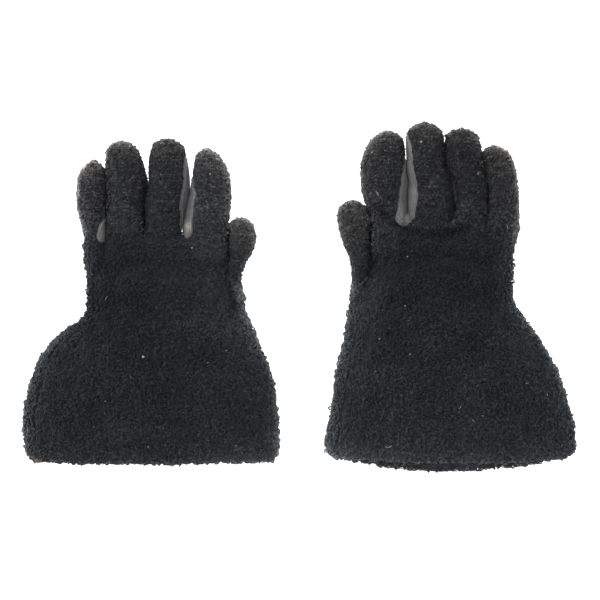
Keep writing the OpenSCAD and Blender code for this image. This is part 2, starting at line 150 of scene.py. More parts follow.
def spline(p, n=8):
    p = np.asarray(p, float)
    q = np.vstack([p[:1], p, p[-1:]])
    out = []
    t = np.arange(n)[:, None] / n
    for i in range(len(p) - 1):
        a, b, c, d = q[i], q[i + 1], q[i + 2], q[i + 3]
        out.append(0.5 * (2 * b + (c - a) * t + (2 * a - 5 * b + 4 * c - d) * t * t + (3 * b - a - 3 * c + d) * t ** 3))
    out.append(p[-1:])
    return np.vstack(out)


def stall_profile(rows, top):
    """v samples with the two edges of a finger, from its plan outline."""
    rows = np.asarray(rows, float)
    line = spline(np.vstack([rows[:, [1, 0]], [[top[1], top[0]]], rows[::-1][:, [2, 0]]]), 14)
    tip = line[:, 1].max()
    vs = np.arange(rows[0, 0], tip, 0.25)
    lo, hi = np.full(len(vs), 1e9), np.full(len(vs), -1e9)
    for (ua, va), (ub, vb) in zip(line[:-1], line[1:]):
        a, b = (va, vb) if va <= vb else (vb, va)
        i = np.nonzero((vs >= a) & (vs <= b))[0]
        if len(i) and b > a:
            u = ua + (ub - ua) * (vs[i] - va) / (vb - va)
            lo[i] = np.minimum(lo[i], u)
            hi[i] = np.maximum(hi[i], u)
    ok = hi > lo - 1e-6
    return vs[ok], lo[ok], hi[ok], tip


def smin(a, b, k):
    k = np.maximum(k, 1e-3)
    h = np.maximum(k - np.abs(a - b), 0) / k
    return np.minimum(a, b) - h * h * k * 0.25


def smax(a, b, k):
    return -smin(-a, -b, k)


def step(a, b, x):
    t = np.clip((x - a) / (b - a), 0, 1)
    return t * t * (3 - 2 * t)


def hash3(i, j, k, seed):
    n = (i * 73856093) ^ (j * 19349663) ^ (k * 83492791) ^ (seed * 2654435761)
    n = (n ^ (n >> 13)) * 1274126177
    n = n ^ (n >> 16)
    return (n & 0xFFFFFF) / float(0x1000000)


def value_noise(p, size, seed):
    q = p / size
    i = np.floor(q).astype(np.int64)
    f = q - i
    f = f * f * (3 - 2 * f)
    out = np.zeros(len(p))
    for a in (0, 1):
        for b in (0, 1):
            for c in (0, 1):
                w = (f[:, 0] if a else 1 - f[:, 0]) * (f[:, 1] if b else 1 - f[:, 1]) * (f[:, 2] if c else 1 - f[:, 2])
                out += w * hash3(i[:, 0] + a, i[:, 1] + b, i[:, 2] + c, seed)
    return out * 2 - 1


def knobs(p, size, seed):
    """Rounded lumps the size of one pile loop: 1 at the middle of a lump, 0 in the crease beside it."""
    q = p / size
    base = np.floor(q).astype(np.int64)
    best = np.full(len(p), 9.0)
    for a in (-1, 0, 1):
        for b in (-1, 0, 1):
            for c in (-1, 0, 1):
                i = base + np.array([a, b, c])
                jit = np.stack([hash3(i[:, 0], i[:, 1], i[:, 2], seed + s) for s in (0, 7, 13)], 1)
                best = np.minimum(best, ((i + 0.1 + 0.8 * jit - q) ** 2).sum(1))
    return np.sqrt(np.clip(1 - best / 0.72, 0, 1))


# ------------------------------------------------------------------ fields of one glove
class Glove:
    def __init__(self, s):
        self.s = s
        self.side = SIDES[s]
        w = JOINTS[self.side + "_wrist"]["pos_m"]
        self.x0, self.y0 = w[0] * 1000, w[1] * 1000
        self.sign = 1 if s == 0 else -1
        self.body = spline(BODY[s], 8)
        self.fingers = [stall_profile(*f) for f in FINGER[s]]
        self.thumb = stall_profile(*THUMB[s])
        self.joint = {}
        for f in FINGERS:
            for part in ("knuckle", "middle"):
                j = JOINTS[f"{self.side}_{f}_{part}"]
                self.joint[f, part] = self.to_uv(j["pos_m"])
        self.joint["thumb"] = self.to_uv(JOINTS[self.side + "_thumb_bend"]["pos_m"])
        self.lean = []
        for f in FINGERS:
            ax = JOINTS[f"{self.side}_{f}_middle"]["axis"]
            d = np.array([-ax[1] * 1.0, ax[0] * 1.0])      # plan direction across the axis
            d = d * (-1 if d[1] < 0 else 1)
            self.lean.append(np.array([d[0] * self.sign, d[1]]))

    def to_uv(self, p):
        return np.array([(p[0] * 1000 - self.x0) * self.sign, p[1] * 1000 - self.y0, p[2] * 1000])

    def to_world(self, p):
        p = np.asarray(p, float)
        return np.stack([self.x0 + self.sign * p[..., 0], self.y0 + p[..., 1], p[..., 2]], -1) / 1000

    def edges(self, V):
        return np.interp(V, self.body[:, 0], self.body[:, 1]), np.interp(V, self.body[:, 0], self.body[:, 2])

    def thick(self, V):
        return np.interp(V, [-140, -125, -90, -50, -20, 0, 20, 42, 60, 80],
                         [30.5, 32.5, 35.5, 36, 33.5, 30.5, 30.5, 28.5, 25, 24])

    def body_field(self, U, V, Z):
        lo, hi = self.edges(V)
        t = self.thick(V)
        inset = np.interp(V, [-140, -20, 10, 60], [2.2, 2.1, 1.9, 1.5])
        c, w = (lo + hi) / 2, (hi - lo) / 2 - inset
        zc = t * 0.40
        up = Z >= zc
        hz = np.where(up, t - zc, zc - 1.0)
        s = np.abs(U - c) / w
        e = np.abs(Z - zc) / hz
        qe = np.where(up, 2.0, 2.8)
        f = (s ** 3.2 + e ** qe) ** (1 / np.where(up, 2.4, 2.9)) - 1
        return f

    def stall_field(self, U, V, Z, prof, t, inset, bend):
        vs, lo, hi, tip = prof
        rt = 0.5 * np.median(hi - lo)
        ve = V + inset * step(tip - rt, tip, V)
        l, h = np.interp(ve, vs, lo), np.interp(ve, vs, hi)
        c = (l + h) / 2
        w = np.maximum((h - l) / 2 - inset, 0.25)
        r = np.sqrt(np.clip(1 - np.clip((ve - (tip - rt)) / rt, 0, 1) ** 2, 0.0004, 1)) ** 0.75
        zc = t * 0.44
        up = Z >= zc
        hz = np.where(up, t - zc, zc - 0.6) * r
        # a tip lies a little lower than the finger behind it
        zz = Z - zc + bend * (1 - r)
        s = np.abs(U - c) / w
        e = np.abs(zz) / hz
        f = (s ** 2.5 + e ** 2.3) ** (1 / 2.4) - 1
        return np.where(ve > tip, np.maximum(f, (ve - tip) / rt), f)


def distance(F, h):
    gx, gy, gz = np.gradient(F, h)
    return F / np.sqrt(gx * gx + gy * gy + gz * gz + 1e-12)


def grid(lo, hi, h):
    n = [int(math.ceil((b - a) / h)) + 1 for a, b in zip(lo, hi)]
    ax = [lo[i] + h * np.arange(n[i]) for i in range(3)]
    return np.meshgrid(*ax, indexing="ij"), np.array(lo, float)


def sample(F, lo, h, p):
    q = np.clip((p - lo) / h, 0, np.array(F.shape) - 1.001)
    i = np.floor(q).astype(int)
    f = q - i
    out = 0
    for a in (0, 1):
        for b in (0, 1):
            for c in (0, 1):
                w = (f[:, 0] if a else 1 - f[:, 0]) * (f[:, 1] if b else 1 - f[:, 1]) * (f[:, 2] if c else 1 - f[:, 2])
                out = out + w * F[i[:, 0] + a, i[:, 1] + b, i[:, 2] + c]
    return out


def surface(F, lo, h):
    """Surface nets: one vertex a cell the surface passes through, one quad a grid edge it crosses."""
    S = F < 0
    nx, ny, nz = F.shape
    corners = [(a, b, c) for a in (0, 1) for b in (0, 1) for c in (0, 1)]
    cell = lambda A, o: A[o[0]:nx - 1 + o[0], o[1]:ny - 1 + o[1], o[2]:nz - 1 + o[2]]
    n_in = sum(cell(S, o).astype(np.int8) for o in corners)
    active = (n_in > 0) & (n_in < 8)
    idx = np.full(active.shape, -1, np.int64)
    ijk = np.argwhere(active)
    idx[active] = np.arange(len(ijk))
    acc = np.zeros((len(ijk), 3))
    cnt = np.zeros(len(ijk))
    for a in corners:
        for axis in range(3):
            if a[axis]:
                continue
            b = list(a); b[axis] = 1
            fa = F[ijk[:, 0] + a[0], ijk[:, 1] + a[1], ijk[:, 2] + a[2]]
            fb = F[ijk[:, 0] + b[0], ijk[:, 1] + b[1], ijk[:, 2] + b[2]]
            m = (fa < 0) != (fb < 0)
            t = np.where(m, fa / np.where(m, fa - fb, 1), 0)
            p = np.tile(np.array(a, float), (len(ijk), 1))
            p[:, axis] += t
            acc += np.where(m[:, None], p, 0)
            cnt += m
    P = lo + h * (ijk + acc / cnt[:, None])
    quads = []
    for axis in range(3):
        o1, o2 = [(1, 2), (2, 0), (0, 1)][axis]
        sl0, sl1 = [slice(None)] * 3, [slice(None)] * 3
        sl0[axis], sl1[axis] = slice(0, -1), slice(1, None)
        A, B = S[tuple(sl0)], S[tuple(sl1)]
        e = np.argwhere(A != B)
        e = e[(e[:, o1] > 0) & (e[:, o2] > 0) & (e[:, o1] < F.shape[o1] - 1) & (e[:, o2] < F.shape[o2] - 1)]
        flip = A[e[:, 0], e[:, 1], e[:, 2]]
        def at(d1, d2):
            c = e.copy(); c[:, o1] += d1; c[:, o2] += d2
            return idx[c[:, 0], c[:, 1], c[:, 2]]
        q = np.stack([at(-1, -1), at(0, -1), at(0, 0), at(-1, 0)], 1)
        q[~flip] = q[~flip][:, ::-1]
        quads.append(q)
    Q = np.vstack(quads)
    Q = Q[(Q >= 0).all(1)]
    return P, Q


class Skin:
    """Vertices (mm, glove frame), outward normals, quads and per-vertex values."""
    def __init__(self, F, lo, h, extra):
        P, Q = surface(F, lo, h)
        g = np.gradient(F, h)
        for _ in range(2):
            n = np.stack([sample(a, lo, h, P) for a in g], 1)
            n2 = (n * n).sum(1)
            d = sample(F, lo, h, P)
            P = P - n * np.clip(d / np.maximum(n2, 0.2), -0.5 * h, 0.5 * h)[:, None]
        n = np.stack([sample(a, lo, h, P) for a in g], 1)
        self.N = n / np.maximum(np.linalg.norm(n, axis=1), 1e-9)[:, None]
        self.P, self.Q = P, Q
        self.val = {k: sample(a, lo, h, P) for k, a in extra.items()}

    def faces(self, mask):
        return self.Q[mask]


def build_fields(G):
    """One skin for the gauntlet and hand with the roots of the fingers."""
    s = G.s
    h = H
    (U, V, Z), lo = grid([-130, -156, -3], [102, CUT[s][2] + 12, 43], h)
    body = distance(G.body_field(U, V, Z), h)
    end = np.interp(U, [a[0] for a in BODY_END[s]], [a[1] for a in BODY_END[s]])
    body = smax(body, V - end, 7)
    # body alone, for the inside
    hem_v, sag_up, sag_dn = HEM[s]
    a, b = BODY[s][0][1], BODY[s][0][2]
    tt = np.clip((U - a) / (b - a), -0.1, 1.1)
    bow = np.clip(1 - (2 * tt - 1) ** 2, 0, 1)
    upper = step(11, 19, Z)
    hem = hem_v - bow * (sag_dn + (sag_up - sag_dn) * upper)
    inner = smax(body + 5.0, V - (G.joint["middle", "knuckle"][1] - 4), 6)
    whole = body.copy()
    labels = np.full(U.shape, 1e3)
    who = np.zeros(U.shape, np.int8)
    for i in range(4):
        cut = CUT[s][i]
        m = (V[0, :, 0] > cut - 36)
        sl = (slice(None), m, slice(None))
        f = distance(G.stall_field(U[sl], V[sl], Z[sl], G.fingers[i], 26.5, 1.65, 3.0), h)
        f = smax(f, (cut - 26) - V[sl], 10)
        f = np.maximum(f, V[sl] - (cut + 4))
        k = 7.0 * np.clip((cut - V[sl]) / 9.0, 0, 1)
        w = whole[sl]
        u = smin(body[sl], f, k)
        lab = labels[sl]
        nw = f < lab
        lab[nw] = f[nw]
        wh = who[sl]
        wh[nw] = i + 1
        who[sl] = wh
        labels[sl] = lab
        whole[sl] = np.minimum(w, u)
    m = (V[0, :, 0] > -12) & (V[0, :, 0] < 70)
    sl = (slice(None), m, slice(None))
    th = distance(G.stall_field(U[sl], V[sl], Z[sl], G.thumb, 25.0, 1.3, 2.0), h)
    t = (U[sl] - CROTCH[s][0]) * CROTCH_N[s][0] + (V[sl] - CROTCH[s][1]) * CROTCH_N[s][1]
    th = smax(th, 4 - V[sl], 10)
    th = np.maximum(th, t - 4)
    k = 9.0 * np.clip(-t / 9.0, 0, 1)
    lab = labels[sl]
    wh = who[sl]
    nw = th < lab
    lab[nw] = th[nw]
    wh[nw] = 5
    labels[sl], who[sl] = lab, wh
    whole[sl] = smin(whole[sl], th, k)
    bridge = np.full(U.shape, 9.0)
    for u, v, a, b, z, c in BRIDGE[s]:
        q = np.sqrt(((U - u) / a) ** 2 + ((V - v) / b) ** 2 + ((Z - z) / c) ** 2)
        q = (q - 1) * min(a, b)
        bridge = np.minimum(bridge, q)
        whole = smin(whole, q, 2.5)
    outer = whole
    F = smax(outer, -inner, 0.5)
    F = smax(F, hem - V, 5.0)
    extra = {"outer": outer, "inner": inner, "body": body, "stall": labels, "upper": upper, "hem": V - hem, "bridge": bridge}
    skin = Skin(F, lo, h, extra)
    soften(skin, smax(outer, hem - V, 5.0), lo, h, 5,
           lambda p: (p[:, 1] > 46) | (p[:, 2] < 3) | (p[:, 1] < hem_v + 4), 3.5, 0.05, 2.4,
           lambda p: step(0.15, 0.65, skin.N[:, 2]) * step(6, 14, p[:, 2]) * (1 - step(34, 46, p[:, 1]))
           * step(hem_v - 2, hem_v + 12, p[:, 1]) * (skin.val["outer"] > -3))
    # nearest stall of each vertex
    q = np.clip(np.round((skin.P - lo) / h).astype(int), 0, np.array(who.shape) - 1)
    skin.who = who[q[:, 0], q[:, 1], q[:, 2]]
    return skin


def stall_skin(G, i):
    s = G.s
    h = H
    prof = G.fingers[i] if i < 4 else G.thumb
    vs, lo_, hi_, tip = prof
    base_lo = np.array([-130, -156, -3.0])
    start = (CUT[s][i] if i < 4 else CROTCH[s][1] - 14) - 4
    a = np.array([lo_.min() - 4, start, -3.0])
    a = base_lo + np.floor((a - base_lo) / h) * h        # same lattice as the hand's grid
    (U, V, Z), lo = grid(a, [hi_.max() + 4, tip + 4, 33], h)
    f = distance(G.stall_field(U, V, Z, prof, 26.5 if i < 4 else 25.0, 1.65 if i < 4 else 1.3, 3.0 if i < 4 else 2.0), h)
    skin = Skin(f, lo, h, {})
    root = CUT[s][i] if i < 4 else CROTCH[s][1] + 4
    soften(skin, f, lo, h, 3, lambda p: (p[:, 1] < root + 2) | (p[:, 2] < 3), 3.5, 0.05, 1.0,
           lambda p: step(0.1, 0.6, skin.N[:, 2]) * step(8, 14, p[:, 2]) * step(root + 1, root + 9, p[:, 1]))
    return skin


# ------------------------------------------------------------------ cloth
def settle(P, Q, pinned, pressure, swell):
    """Cloth simulation of a coarse copy (mm): the shell is blown up a little and its cloth grows, so it goes soft and uneven."""
    me = bpy.data.meshes.new("cloth_try")
    me.from_pydata((P / 1000).tolist(), [], Q.tolist())
    ob = bpy.data.objects.new("cloth_try", me)
    sc = bpy.context.scene
    sc.collection.objects.link(ob)
    vg = ob.vertex_groups.new(name="held")
    vg.add([int(i) for i in np.nonzero(pinned)[0]], 1.0, "REPLACE")
    md = ob.modifiers.new("cloth", "CLOTH")
    c = md.settings
    c.quality = 6
    c.mass = 0.25
    c.tension_stiffness = c.compression_stiffness = 18
    c.shear_stiffness = 6
    c.bending_stiffness = 0.35
    c.air_damping = 2
    c.use_pressure = True
    c.uniform_pressure_force = pressure
    c.shrink_min = -swell
    c.vertex_group_mass = "held"
    c.effector_weights.gravity = 0
    md.collision_settings.use_collision = False
    md.point_cache.frame_start, md.point_cache.frame_end = 1, 20
    for f in range(1, 21):
        sc.frame_set(f)
    ev = ob.evaluated_get(bpy.context.evaluated_depsgraph_get())
    m = ev.to_mesh()
    out = np.empty(len(m.vertices) * 3, np.float32)
    m.vertices.foreach_get("co", out)
    ev.to_mesh_clear()
    sc.frame_set(1)
    bpy.data.objects.remove(ob, do_unlink=True)
    bpy.data.meshes.remove(me)
    return out.reshape(-1, 3).astype(float) * 1000 - P


def soften(skin, F, lo, h, stride, pinned, pressure, swell, cap, weight):
    """Moves a fine skin with its settled coarse copy, along its normals, never more than cap."""
    P, Q = surface(np.ascontiguousarray(F[::stride, ::stride, ::stride]), lo, h * stride)
    if len(P) < 60:
        return
    d = settle(P, Q, pinned(P), pressure, swell)
    m = me_normals(P, Q)
    top = m[:, 2] > 0.1
    P, a = P[top], (d[top] * m[top]).sum(1)
    c = h * stride * 0.5
    o = P[:, :2].min(0) - 6 * c
    n = np.ceil((P[:, :2].max(0) + 6 * c - o) / c).astype(int) + 1
    A, B = np.zeros(n), np.zeros(n)
    q = np.round((P[:, :2] - o) / c).astype(int)
    for x in range(-5, 6):
        for y in range(-5, 6):
            r2 = (((q + [x, y]) * c + o - P[:, :2]) ** 2).sum(1) / (h * stride) ** 2
            k = np.exp(-r2 * 0.9)
            np.add.at(A, (q[:, 0] + x, q[:, 1] + y), k * a)
            np.add.at(B, (q[:, 0] + x, q[:, 1] + y), k)
    A /= np.maximum(B, 1e-6)
    t = np.clip((skin.P[:, :2] - o) / c, 0, n - 1.001)
    i = t.astype(int)
    f = t - i
    off = 0
    for x in (0, 1):
        for y in (0, 1):
            off = off + (f[:, 0] if x else 1 - f[:, 0]) * (f[:, 1] if y else 1 - f[:, 1]) * A[i[:, 0] + x, i[:, 1] + y]
    w = weight(skin.P)
    off = off - np.average(off, weights=w + 1e-9)
    off = cap * np.tanh(off / cap) * w
    skin.P = skin.P + skin.N * off[:, None]
    print("cloth moved the skin by up to", round(float(np.abs(off).max()), 2), "mm, rms", round(float(np.sqrt((off[w > 0.5] ** 2).mean())), 2))


def me_normals(P, Q):
    n = np.cross(P[Q[:, 2]] - P[Q[:, 0]], P[Q[:, 3]] - P[Q[:, 1]])
    out = np.zeros_like(P)
    for k in range(4):
        np.add.at(out, Q[:, k], n)
    return out / np.maximum(np.linalg.norm(out, axis=1), 1e-9)[:, None]


# ------------------------------------------------------------------ panels
def strip_widths(G, i, v):
    rows = np.array(STRIP[G.s][i], float)
    lo = np.interp(v, rows[:, 0], rows[:, 1])
    hi = np.interp(v, rows[:, 0], rows[:, 2])
    fade = step(rows[0, 0] - 3, rows[0, 0], v)
    return lo * fade - 3 * (1 - fade), hi * fade - 3 * (1 - fade)


PALM_SEAM = 6.5


def pile_edge(G, P, who):
    """How far each point lies inside the pile panel of the hand or of a stall, in mm; below zero is leather."""
    g = P[:, 2] - PALM_SEAM
    for i in range(4):
        m = who == i + 1
        if not m.any():
            continue
        vs, lo, hi, tip = G.fingers[i]
        wl, wr = strip_widths(G, i, P[m, 1])
        l, h = np.interp(P[m, 1], vs, lo), np.interp(P[m, 1], vs, hi)
        g[m] = np.minimum(g[m], np.minimum(np.where(wl > -2, P[m, 0] - l - wl, 9), np.where(wr > -2, h - P[m, 0] - wr, 9)))
    for (u, v, a, b, _) in WEB[G.s]:
        q = np.sqrt(((P[:, 0] - u) / a) ** 2 + ((P[:, 1] - v) / b) ** 2)
        g = np.minimum(g, np.where(P[:, 2] > 4, (q - 1) * min(a, b), 9))
    return g


def cuff_edge(G, P):
    """How far each point lies inside the gauntlet's back panel: the under panel's pile wraps up round one edge."""
    lo, hi = G.edges(P[:, 1])
    zc = G.thick(P[:, 1]) * 0.40
    side = (P[:, 0] - lo) if G.s == 0 else (hi - P[:, 0])
    wrap = np.interp(P[:, 1], [-136, -120, -60, -30, -16, -10], [9.5, 10.5, 11.0, 8.5, 3.0, 0])
    g = P[:, 2] - zc
    return np.minimum(g, np.where(P[:, 2] > zc - 4, side - wrap, -1))


COARSE, FINE = np.array([0.0177, 0.0212, 0.0249]), np.array([0.0292, 0.0299, 0.0327])


def mottle(P, fine):
    """Clumps of pile, -1 to 1: about two loops across on the gauntlet, short rows across a finger."""
    a = value_noise(P, 2.3, 61) + 0.7 * value_noise(P, 4.2, 62)
    if fine is None:
        return a / 1.3
    q = P * np.array([0.62, 1.15, 1.0])
    b = value_noise(q, 1.35, 63) + 0.8 * value_noise(q, 2.7, 64)
    return a / 1.3 * (1 - fine) + b / 1.3 * fine


TONE = [[1.27, 0.86, 1.06, 1.20, 1.18], [0.96, 0.84, 0.75, 0.97, 1.0]]


def sunk(G, P):
    """How deep each point lies in a crease of the back, 0 to 1, with the depth in mm and the painted shade of the
    crease.
    """
    depth, dark = np.zeros(len(P)), np.zeros(len(P))
    for pts, w, k, c in CREASE[G.s]:
        line = spline(pts, 5)
        d = np.full(len(P), 99.0)
        for a, b in zip(line[:-1], line[1:]):
            t = np.clip(((P[:, :2] - a) @ (b - a)) / ((b - a) @ (b - a)), 0, 1)[:, None]
            d = np.minimum(d, np.linalg.norm(P[:, :2] - a - t * (b - a), axis=1))
        f = np.exp(-(d / w) ** 2) * step(14, 20, P[:, 2])
        depth, dark = np.maximum(depth, k * f), np.maximum(dark, c * f)
    return depth, dark


def painted_rim_light(G, P, stall):
    """Painted rim light: the pile is painted paler towards every outer edge, the hem and the fingertips."""
    u, v = P[:, 0], P[:, 1]
    near = lambda d, a, b: a * np.exp(-np.maximum(d, 0) / 3.4) + b * np.exp(-np.maximum(d, 0) / 13.0)
    if stall == 0:
        lo, hi = G.edges(v)
        left = near(u - lo, 1.15 if G.s else 1.15 - 0.6 * step(-25, 5, v), 0.30)
        right = near(hi - u, 0.5 if G.s else 1.9, 0.55)
        right = right * (1 - step(12, 22, v))
        hem = near(v - HEM[G.s][0], 0.6, 0.0) + 0.60 * (1 - step(-130, -80, v))
        return 1 + left + right + hem
    vs, lo, hi, tip = G.thumb if stall == 5 else G.fingers[stall - 1]
    l, h = np.interp(v, vs, lo), np.interp(v, vs, hi)
    f = near(tip - v, 0.60, 0.14) + (near(u - l, 0.36, 0) + near(h - u, 0.36, 0)) * step(tip - 52, tip - 22, v)
    if stall == 5:
        f = 0.45 * f + near(h - u, 0.35, 0.1)
    elif stall == 1:
        f = f + near(h - u, 0.8, 0.1)
    elif stall == 3:
        f = f + near(u - l, 0.5, 0.0) * step(108, 120, v)
    elif stall == 4:
        f = f + near(u - l, 1.1, 0.15)
    return 1 + f


def pile_colour(G, P, stall):
    """Blue-black on the gauntlet, going warmer and paler over the worn fingers and thumb."""
    # the worn, paler pile of the fingers reaches down the index side of the hand
    k = step(18, 88, P[:, 1] + 16 * step(8, 50, P[:, 0]) - 6)[:, None]
    c = COARSE * (1 - k) + FINE * k
    m = 1 + 0.16 * value_noise(P, 34, 31) + 0.10 * value_noise(P, 12, 32)
    if stall == 5:
        w = (step(30, 78, P[:, 1]) * (0.3 + 0.7 * step(6, 16, P[:, 2])))[:, None]
        c = c * (1 + 0.30 * w) + w * np.array([0.010, 0.009, 0.006])
    elif stall > 0:
        vs, lo, hi, tip = G.fingers[stall - 1]
        w = (step(tip - 22, tip, P[:, 1]) * (0.3 + 0.7 * step(6, 16, P[:, 2])))[:, None]
        c = c * (1 + 0.22 * w) + w * np.array([0.006, 0.005, 0.0025])
    fine = step(20, 70, P[:, 1])
    if stall:
        root = CUT[G.s][stall - 1] if stall < 5 else 22
        t = step(root, root + 18, P[:, 1])
        m = m * (1 + (TONE[G.s][stall - 1] - 1) * t)
        m = m * (1 + 0.16 * t * np.sin(P[:, 1] * 2.5 + 1.7 * value_noise(P, 8, 12)) * 0.7)
    # painted shade in the creases of the back
    m = m * (1 - sunk(G, P)[1])
    m = m * np.exp((0.30 + 0.48 * fine) * mottle(P, fine))
    # painted rim light, warmer in hue, at full strength on the upper pile and near the hem
    seen = np.maximum(step(6, 16, P[:, 2]), 1 - step(HEM[G.s][0] - 3, HEM[G.s][0] + 6, P[:, 1]))
    f = 1 + ((painted_rim_light(G, P, stall) - 1) * (0.15 + 0.85 * seen))[:, None]
    c = c * (f + (f - 1) * np.array([0.16, 0.02, -0.13]))
    low = 1 - step(-50, 5, P[:, 1])
    if G.s == 0:
        m = m * (1 + (0.15 * step(-20, 70, P[:, 0]) - 0.06) * low)
    else:
        m = m * (1 + 0.13 * low)
    # across the hand: dark at the little-finger side, worn paler towards the thumb
    m = m * (1 - 0.20 * step(-22, 8, P[:, 1]) * (1 - step(40, 86, P[:, 1])))
    if stall == 0:
        if G.s == 0:
            q = np.interp(P[:, 0], [-60, -30, 0, 20, 36, 55], [-0.28, -0.12, 0.05, 0.22, 0.78, 0.70])
            m = m * (1 + q * step(-45, -8, P[:, 1]) * (1 - 0.8 * step(50, 66, P[:, 1])))
            m = m * (1 + 0.22 * step(10, 30, P[:, 1]) * (1 - step(40, 58, P[:, 1])))
            m = m * (1 - 0.20 * (1 - step(-22, 0, P[:, 0])) * step(-28, -14, P[:, 1]) * (1 - step(2, 22, P[:, 1])))
        else:
            q = np.interp(P[:, 0], [-70, -50, -30, 25, 38, 48, 56], [0.12, -0.05, -0.05, -0.04, 0.30, 0.75, 0.85])
            m = m * (1 + q * step(-25, 0, P[:, 1]) * (1 - step(46, 66, P[:, 1])))
    return c * m[:, None]


def corner_wear(G, P, c):
    if G.s == 0:                                       # the tan scuff at the outer corner of the left hem
        d = np.hypot((P[:, 0] + 113.5) * 0.8, (P[:, 1] + 132.0) * 1.5)
        w = (1 - step(2, 9, d + 2 * value_noise(P, 4, 77)))[:, None]
        c = c * (1 - 0.8 * w) + w * 0.8 * np.array([0.16, 0.125, 0.09])
    return c


def leather_colour(G, P):
    c = np.tile(np.array([0.118, 0.118, 0.121]), (len(P), 1))
    palm = (1 - step(5, 10, P[:, 2]))[:, None]
    c = c * (1 - palm) + palm * np.array([0.058, 0.057, 0.057])
    for (u, v, a, b, wear) in WEB[G.s]:
        q = np.sqrt(((P[:, 0] - u) / a) ** 2 + ((P[:, 1] - v) / b) ** 2) + 0.25 * value_noise(P, 3.5, 5)
        w = ((1 - step(0.4, 1.15, q)) * wear * step(9, 14, P[:, 2]))[:, None]
        c = c * (1 - w) + w * np.array([0.205, 0.190, 0.165]) * (1 + 0.35 * value_noise(P, 1.6, 6))[:, None]
    m = 1 + 0.12 * value_noise(P, 16, 41) + 0.14 * value_noise(P, 4, 42)
    top = step(PALM_SEAM, PALM_SEAM + 3, P[:, 2])
    # palm leather is darker in the folds it bends along
    for i, (vs, lo, hi, tip) in enumerate(G.fingers):
        on = (P[:, 0] > np.interp(P[:, 1], vs, lo) - 1) & (P[:, 0] < np.interp(P[:, 1], vs, hi) + 1) & (P[:, 2] < 7)
        for k in ("knuckle", "middle"):
            at = G.joint[FINGERS[i], k][1] + 1.2 * value_noise(P, 9, 90 + i)
            m = m * (1 - 0.26 * on * np.exp(-((P[:, 1] - at) / 1.1) ** 2))
    # painted shade: leather walls from the palm seam up to about 12 mm are painted nearly black, where the slits
    # between the fingers lie in shade
    m = m * (1 - top * 0.9 * (1 - step(10.4, 12.9, P[:, 2])))
    return c * m[:, None]


def leather_out(P, N, k=1.0):
    """The leather walls stand out to the outline, so that fingers side by side touch."""
    w = 2.15 * step(34, 52, P[:, 1]) * step(1.0, 6.0, P[:, 2]) * k
    M = N.copy()
    M[:, 2] *= 0.15
    return P + M * w[:, None]


def pile_lift(G, P, g, stall):
    """Height of the pile over its backing."""
    k = step(-12, 62, P[:, 1])
    coarse = knobs(P, 3.5, 3)
    fine = knobs(P, 2.1, 9)
    if stall > 0:
        rib = 0.30 * np.sin(P[:, 1] * 2.5 + 1.7 * value_noise(P, 8, 12))
    else:
        rib = 0
    clump = mottle(P, k)
    side = 1 - np.clip((P[:, 2] - 6) / 14, 0, 1)
    lump = (1 - k) * (0.30 + 1.5 * coarse + 0.7 * clump) + k * (0.25 + 0.8 * fine + rib + 0.45 * clump)
    soft = 0.55 * value_noise(P, 26, 21) + 0.25 * value_noise(P, 9, 22)
    edge = step(-0.2, 2.4, g)
    base = 0.45 * k
    return base - sunk(G, P)[0] + edge * (lump + soft * np.minimum(1, edge)) - 0.8 * (1 - step(-0.6, 0.8, g)) * (1 - 0.3 * k)


# ------------------------------------------------------------------ pile loops
RNG = np.random.default_rng(76400)


def loop_template(seed, ring=8, tube=4):
    r = np.random.default_rng(9100 + seed)
    a, b = r.uniform(0.12, 0.32), r.uniform(0.22, 0.5)
    p1, p2 = r.uniform(0, 6.28, 2)
    th = np.arange(ring) * 2 * math.pi / ring
    rad = 1 + a * np.cos(2 * th + p1)
    c = np.stack([rad * np.cos(th), rad * np.sin(th), b * np.sin(3 * th + p2)], 1)
    t = np.roll(c, -1, 0) - np.roll(c, 1, 0)
    t /= np.linalg.norm(t, axis=1)[:, None]
    out = c / np.linalg.norm(c, axis=1)[:, None]
    n1 = out - (out * t).sum(1)[:, None] * t
    n1 /= np.linalg.norm(n1, axis=1)[:, None]
    n2 = np.cross(t, n1)
    ph = np.arange(tube) * 2 * math.pi / tube
    v = c[:, None] + 0.40 * (np.cos(ph)[None, :, None] * n1[:, None] + np.sin(ph)[None, :, None] * n2[:, None])
    f = []
    for i in range(ring):
        for j in range(tube):
            k, l = (i + 1) % ring, (j + 1) % tube
            f.append([i * tube + j, i * tube + l, k * tube + l, k * tube + j])
    return v.reshape(-1, 3), np.array(f)[:, ::-1]


TEMPLATES = [loop_template(i) for i in range(8)]


def hair_template(seed):
    r = np.random.default_rng(7700 + seed)
    n = 4
    t = np.linspace(0, 1, n + 1)
    bend = r.uniform(0.3, 1.1)
    c = np.stack([bend * t ** 2, 0.2 * np.sin(3 * t + r.uniform(0, 6)), t], 1)
    v, f = [], []
    for i in range(n + 1):
        w = 0.055 * (1 - 0.6 * t[i])
        for j in range(3):
            a = j * 2.0944
            v.append(c[i] + [w * math.cos(a), w * math.sin(a), 0])
    for i in range(n):
        for j in range(3):
            l = (j + 1) % 3
            f.append([i * 3 + j, i * 3 + l, (i + 1) * 3 + l, (i + 1) * 3 + j])
    top = n * 3
    f.append([top, top + 1, top + 2, top + 2])
    f.append([2, 1, 0, 0])
    return np.array(v), np.array(f)


HAIRS = [hair_template(i) for i in range(6)]


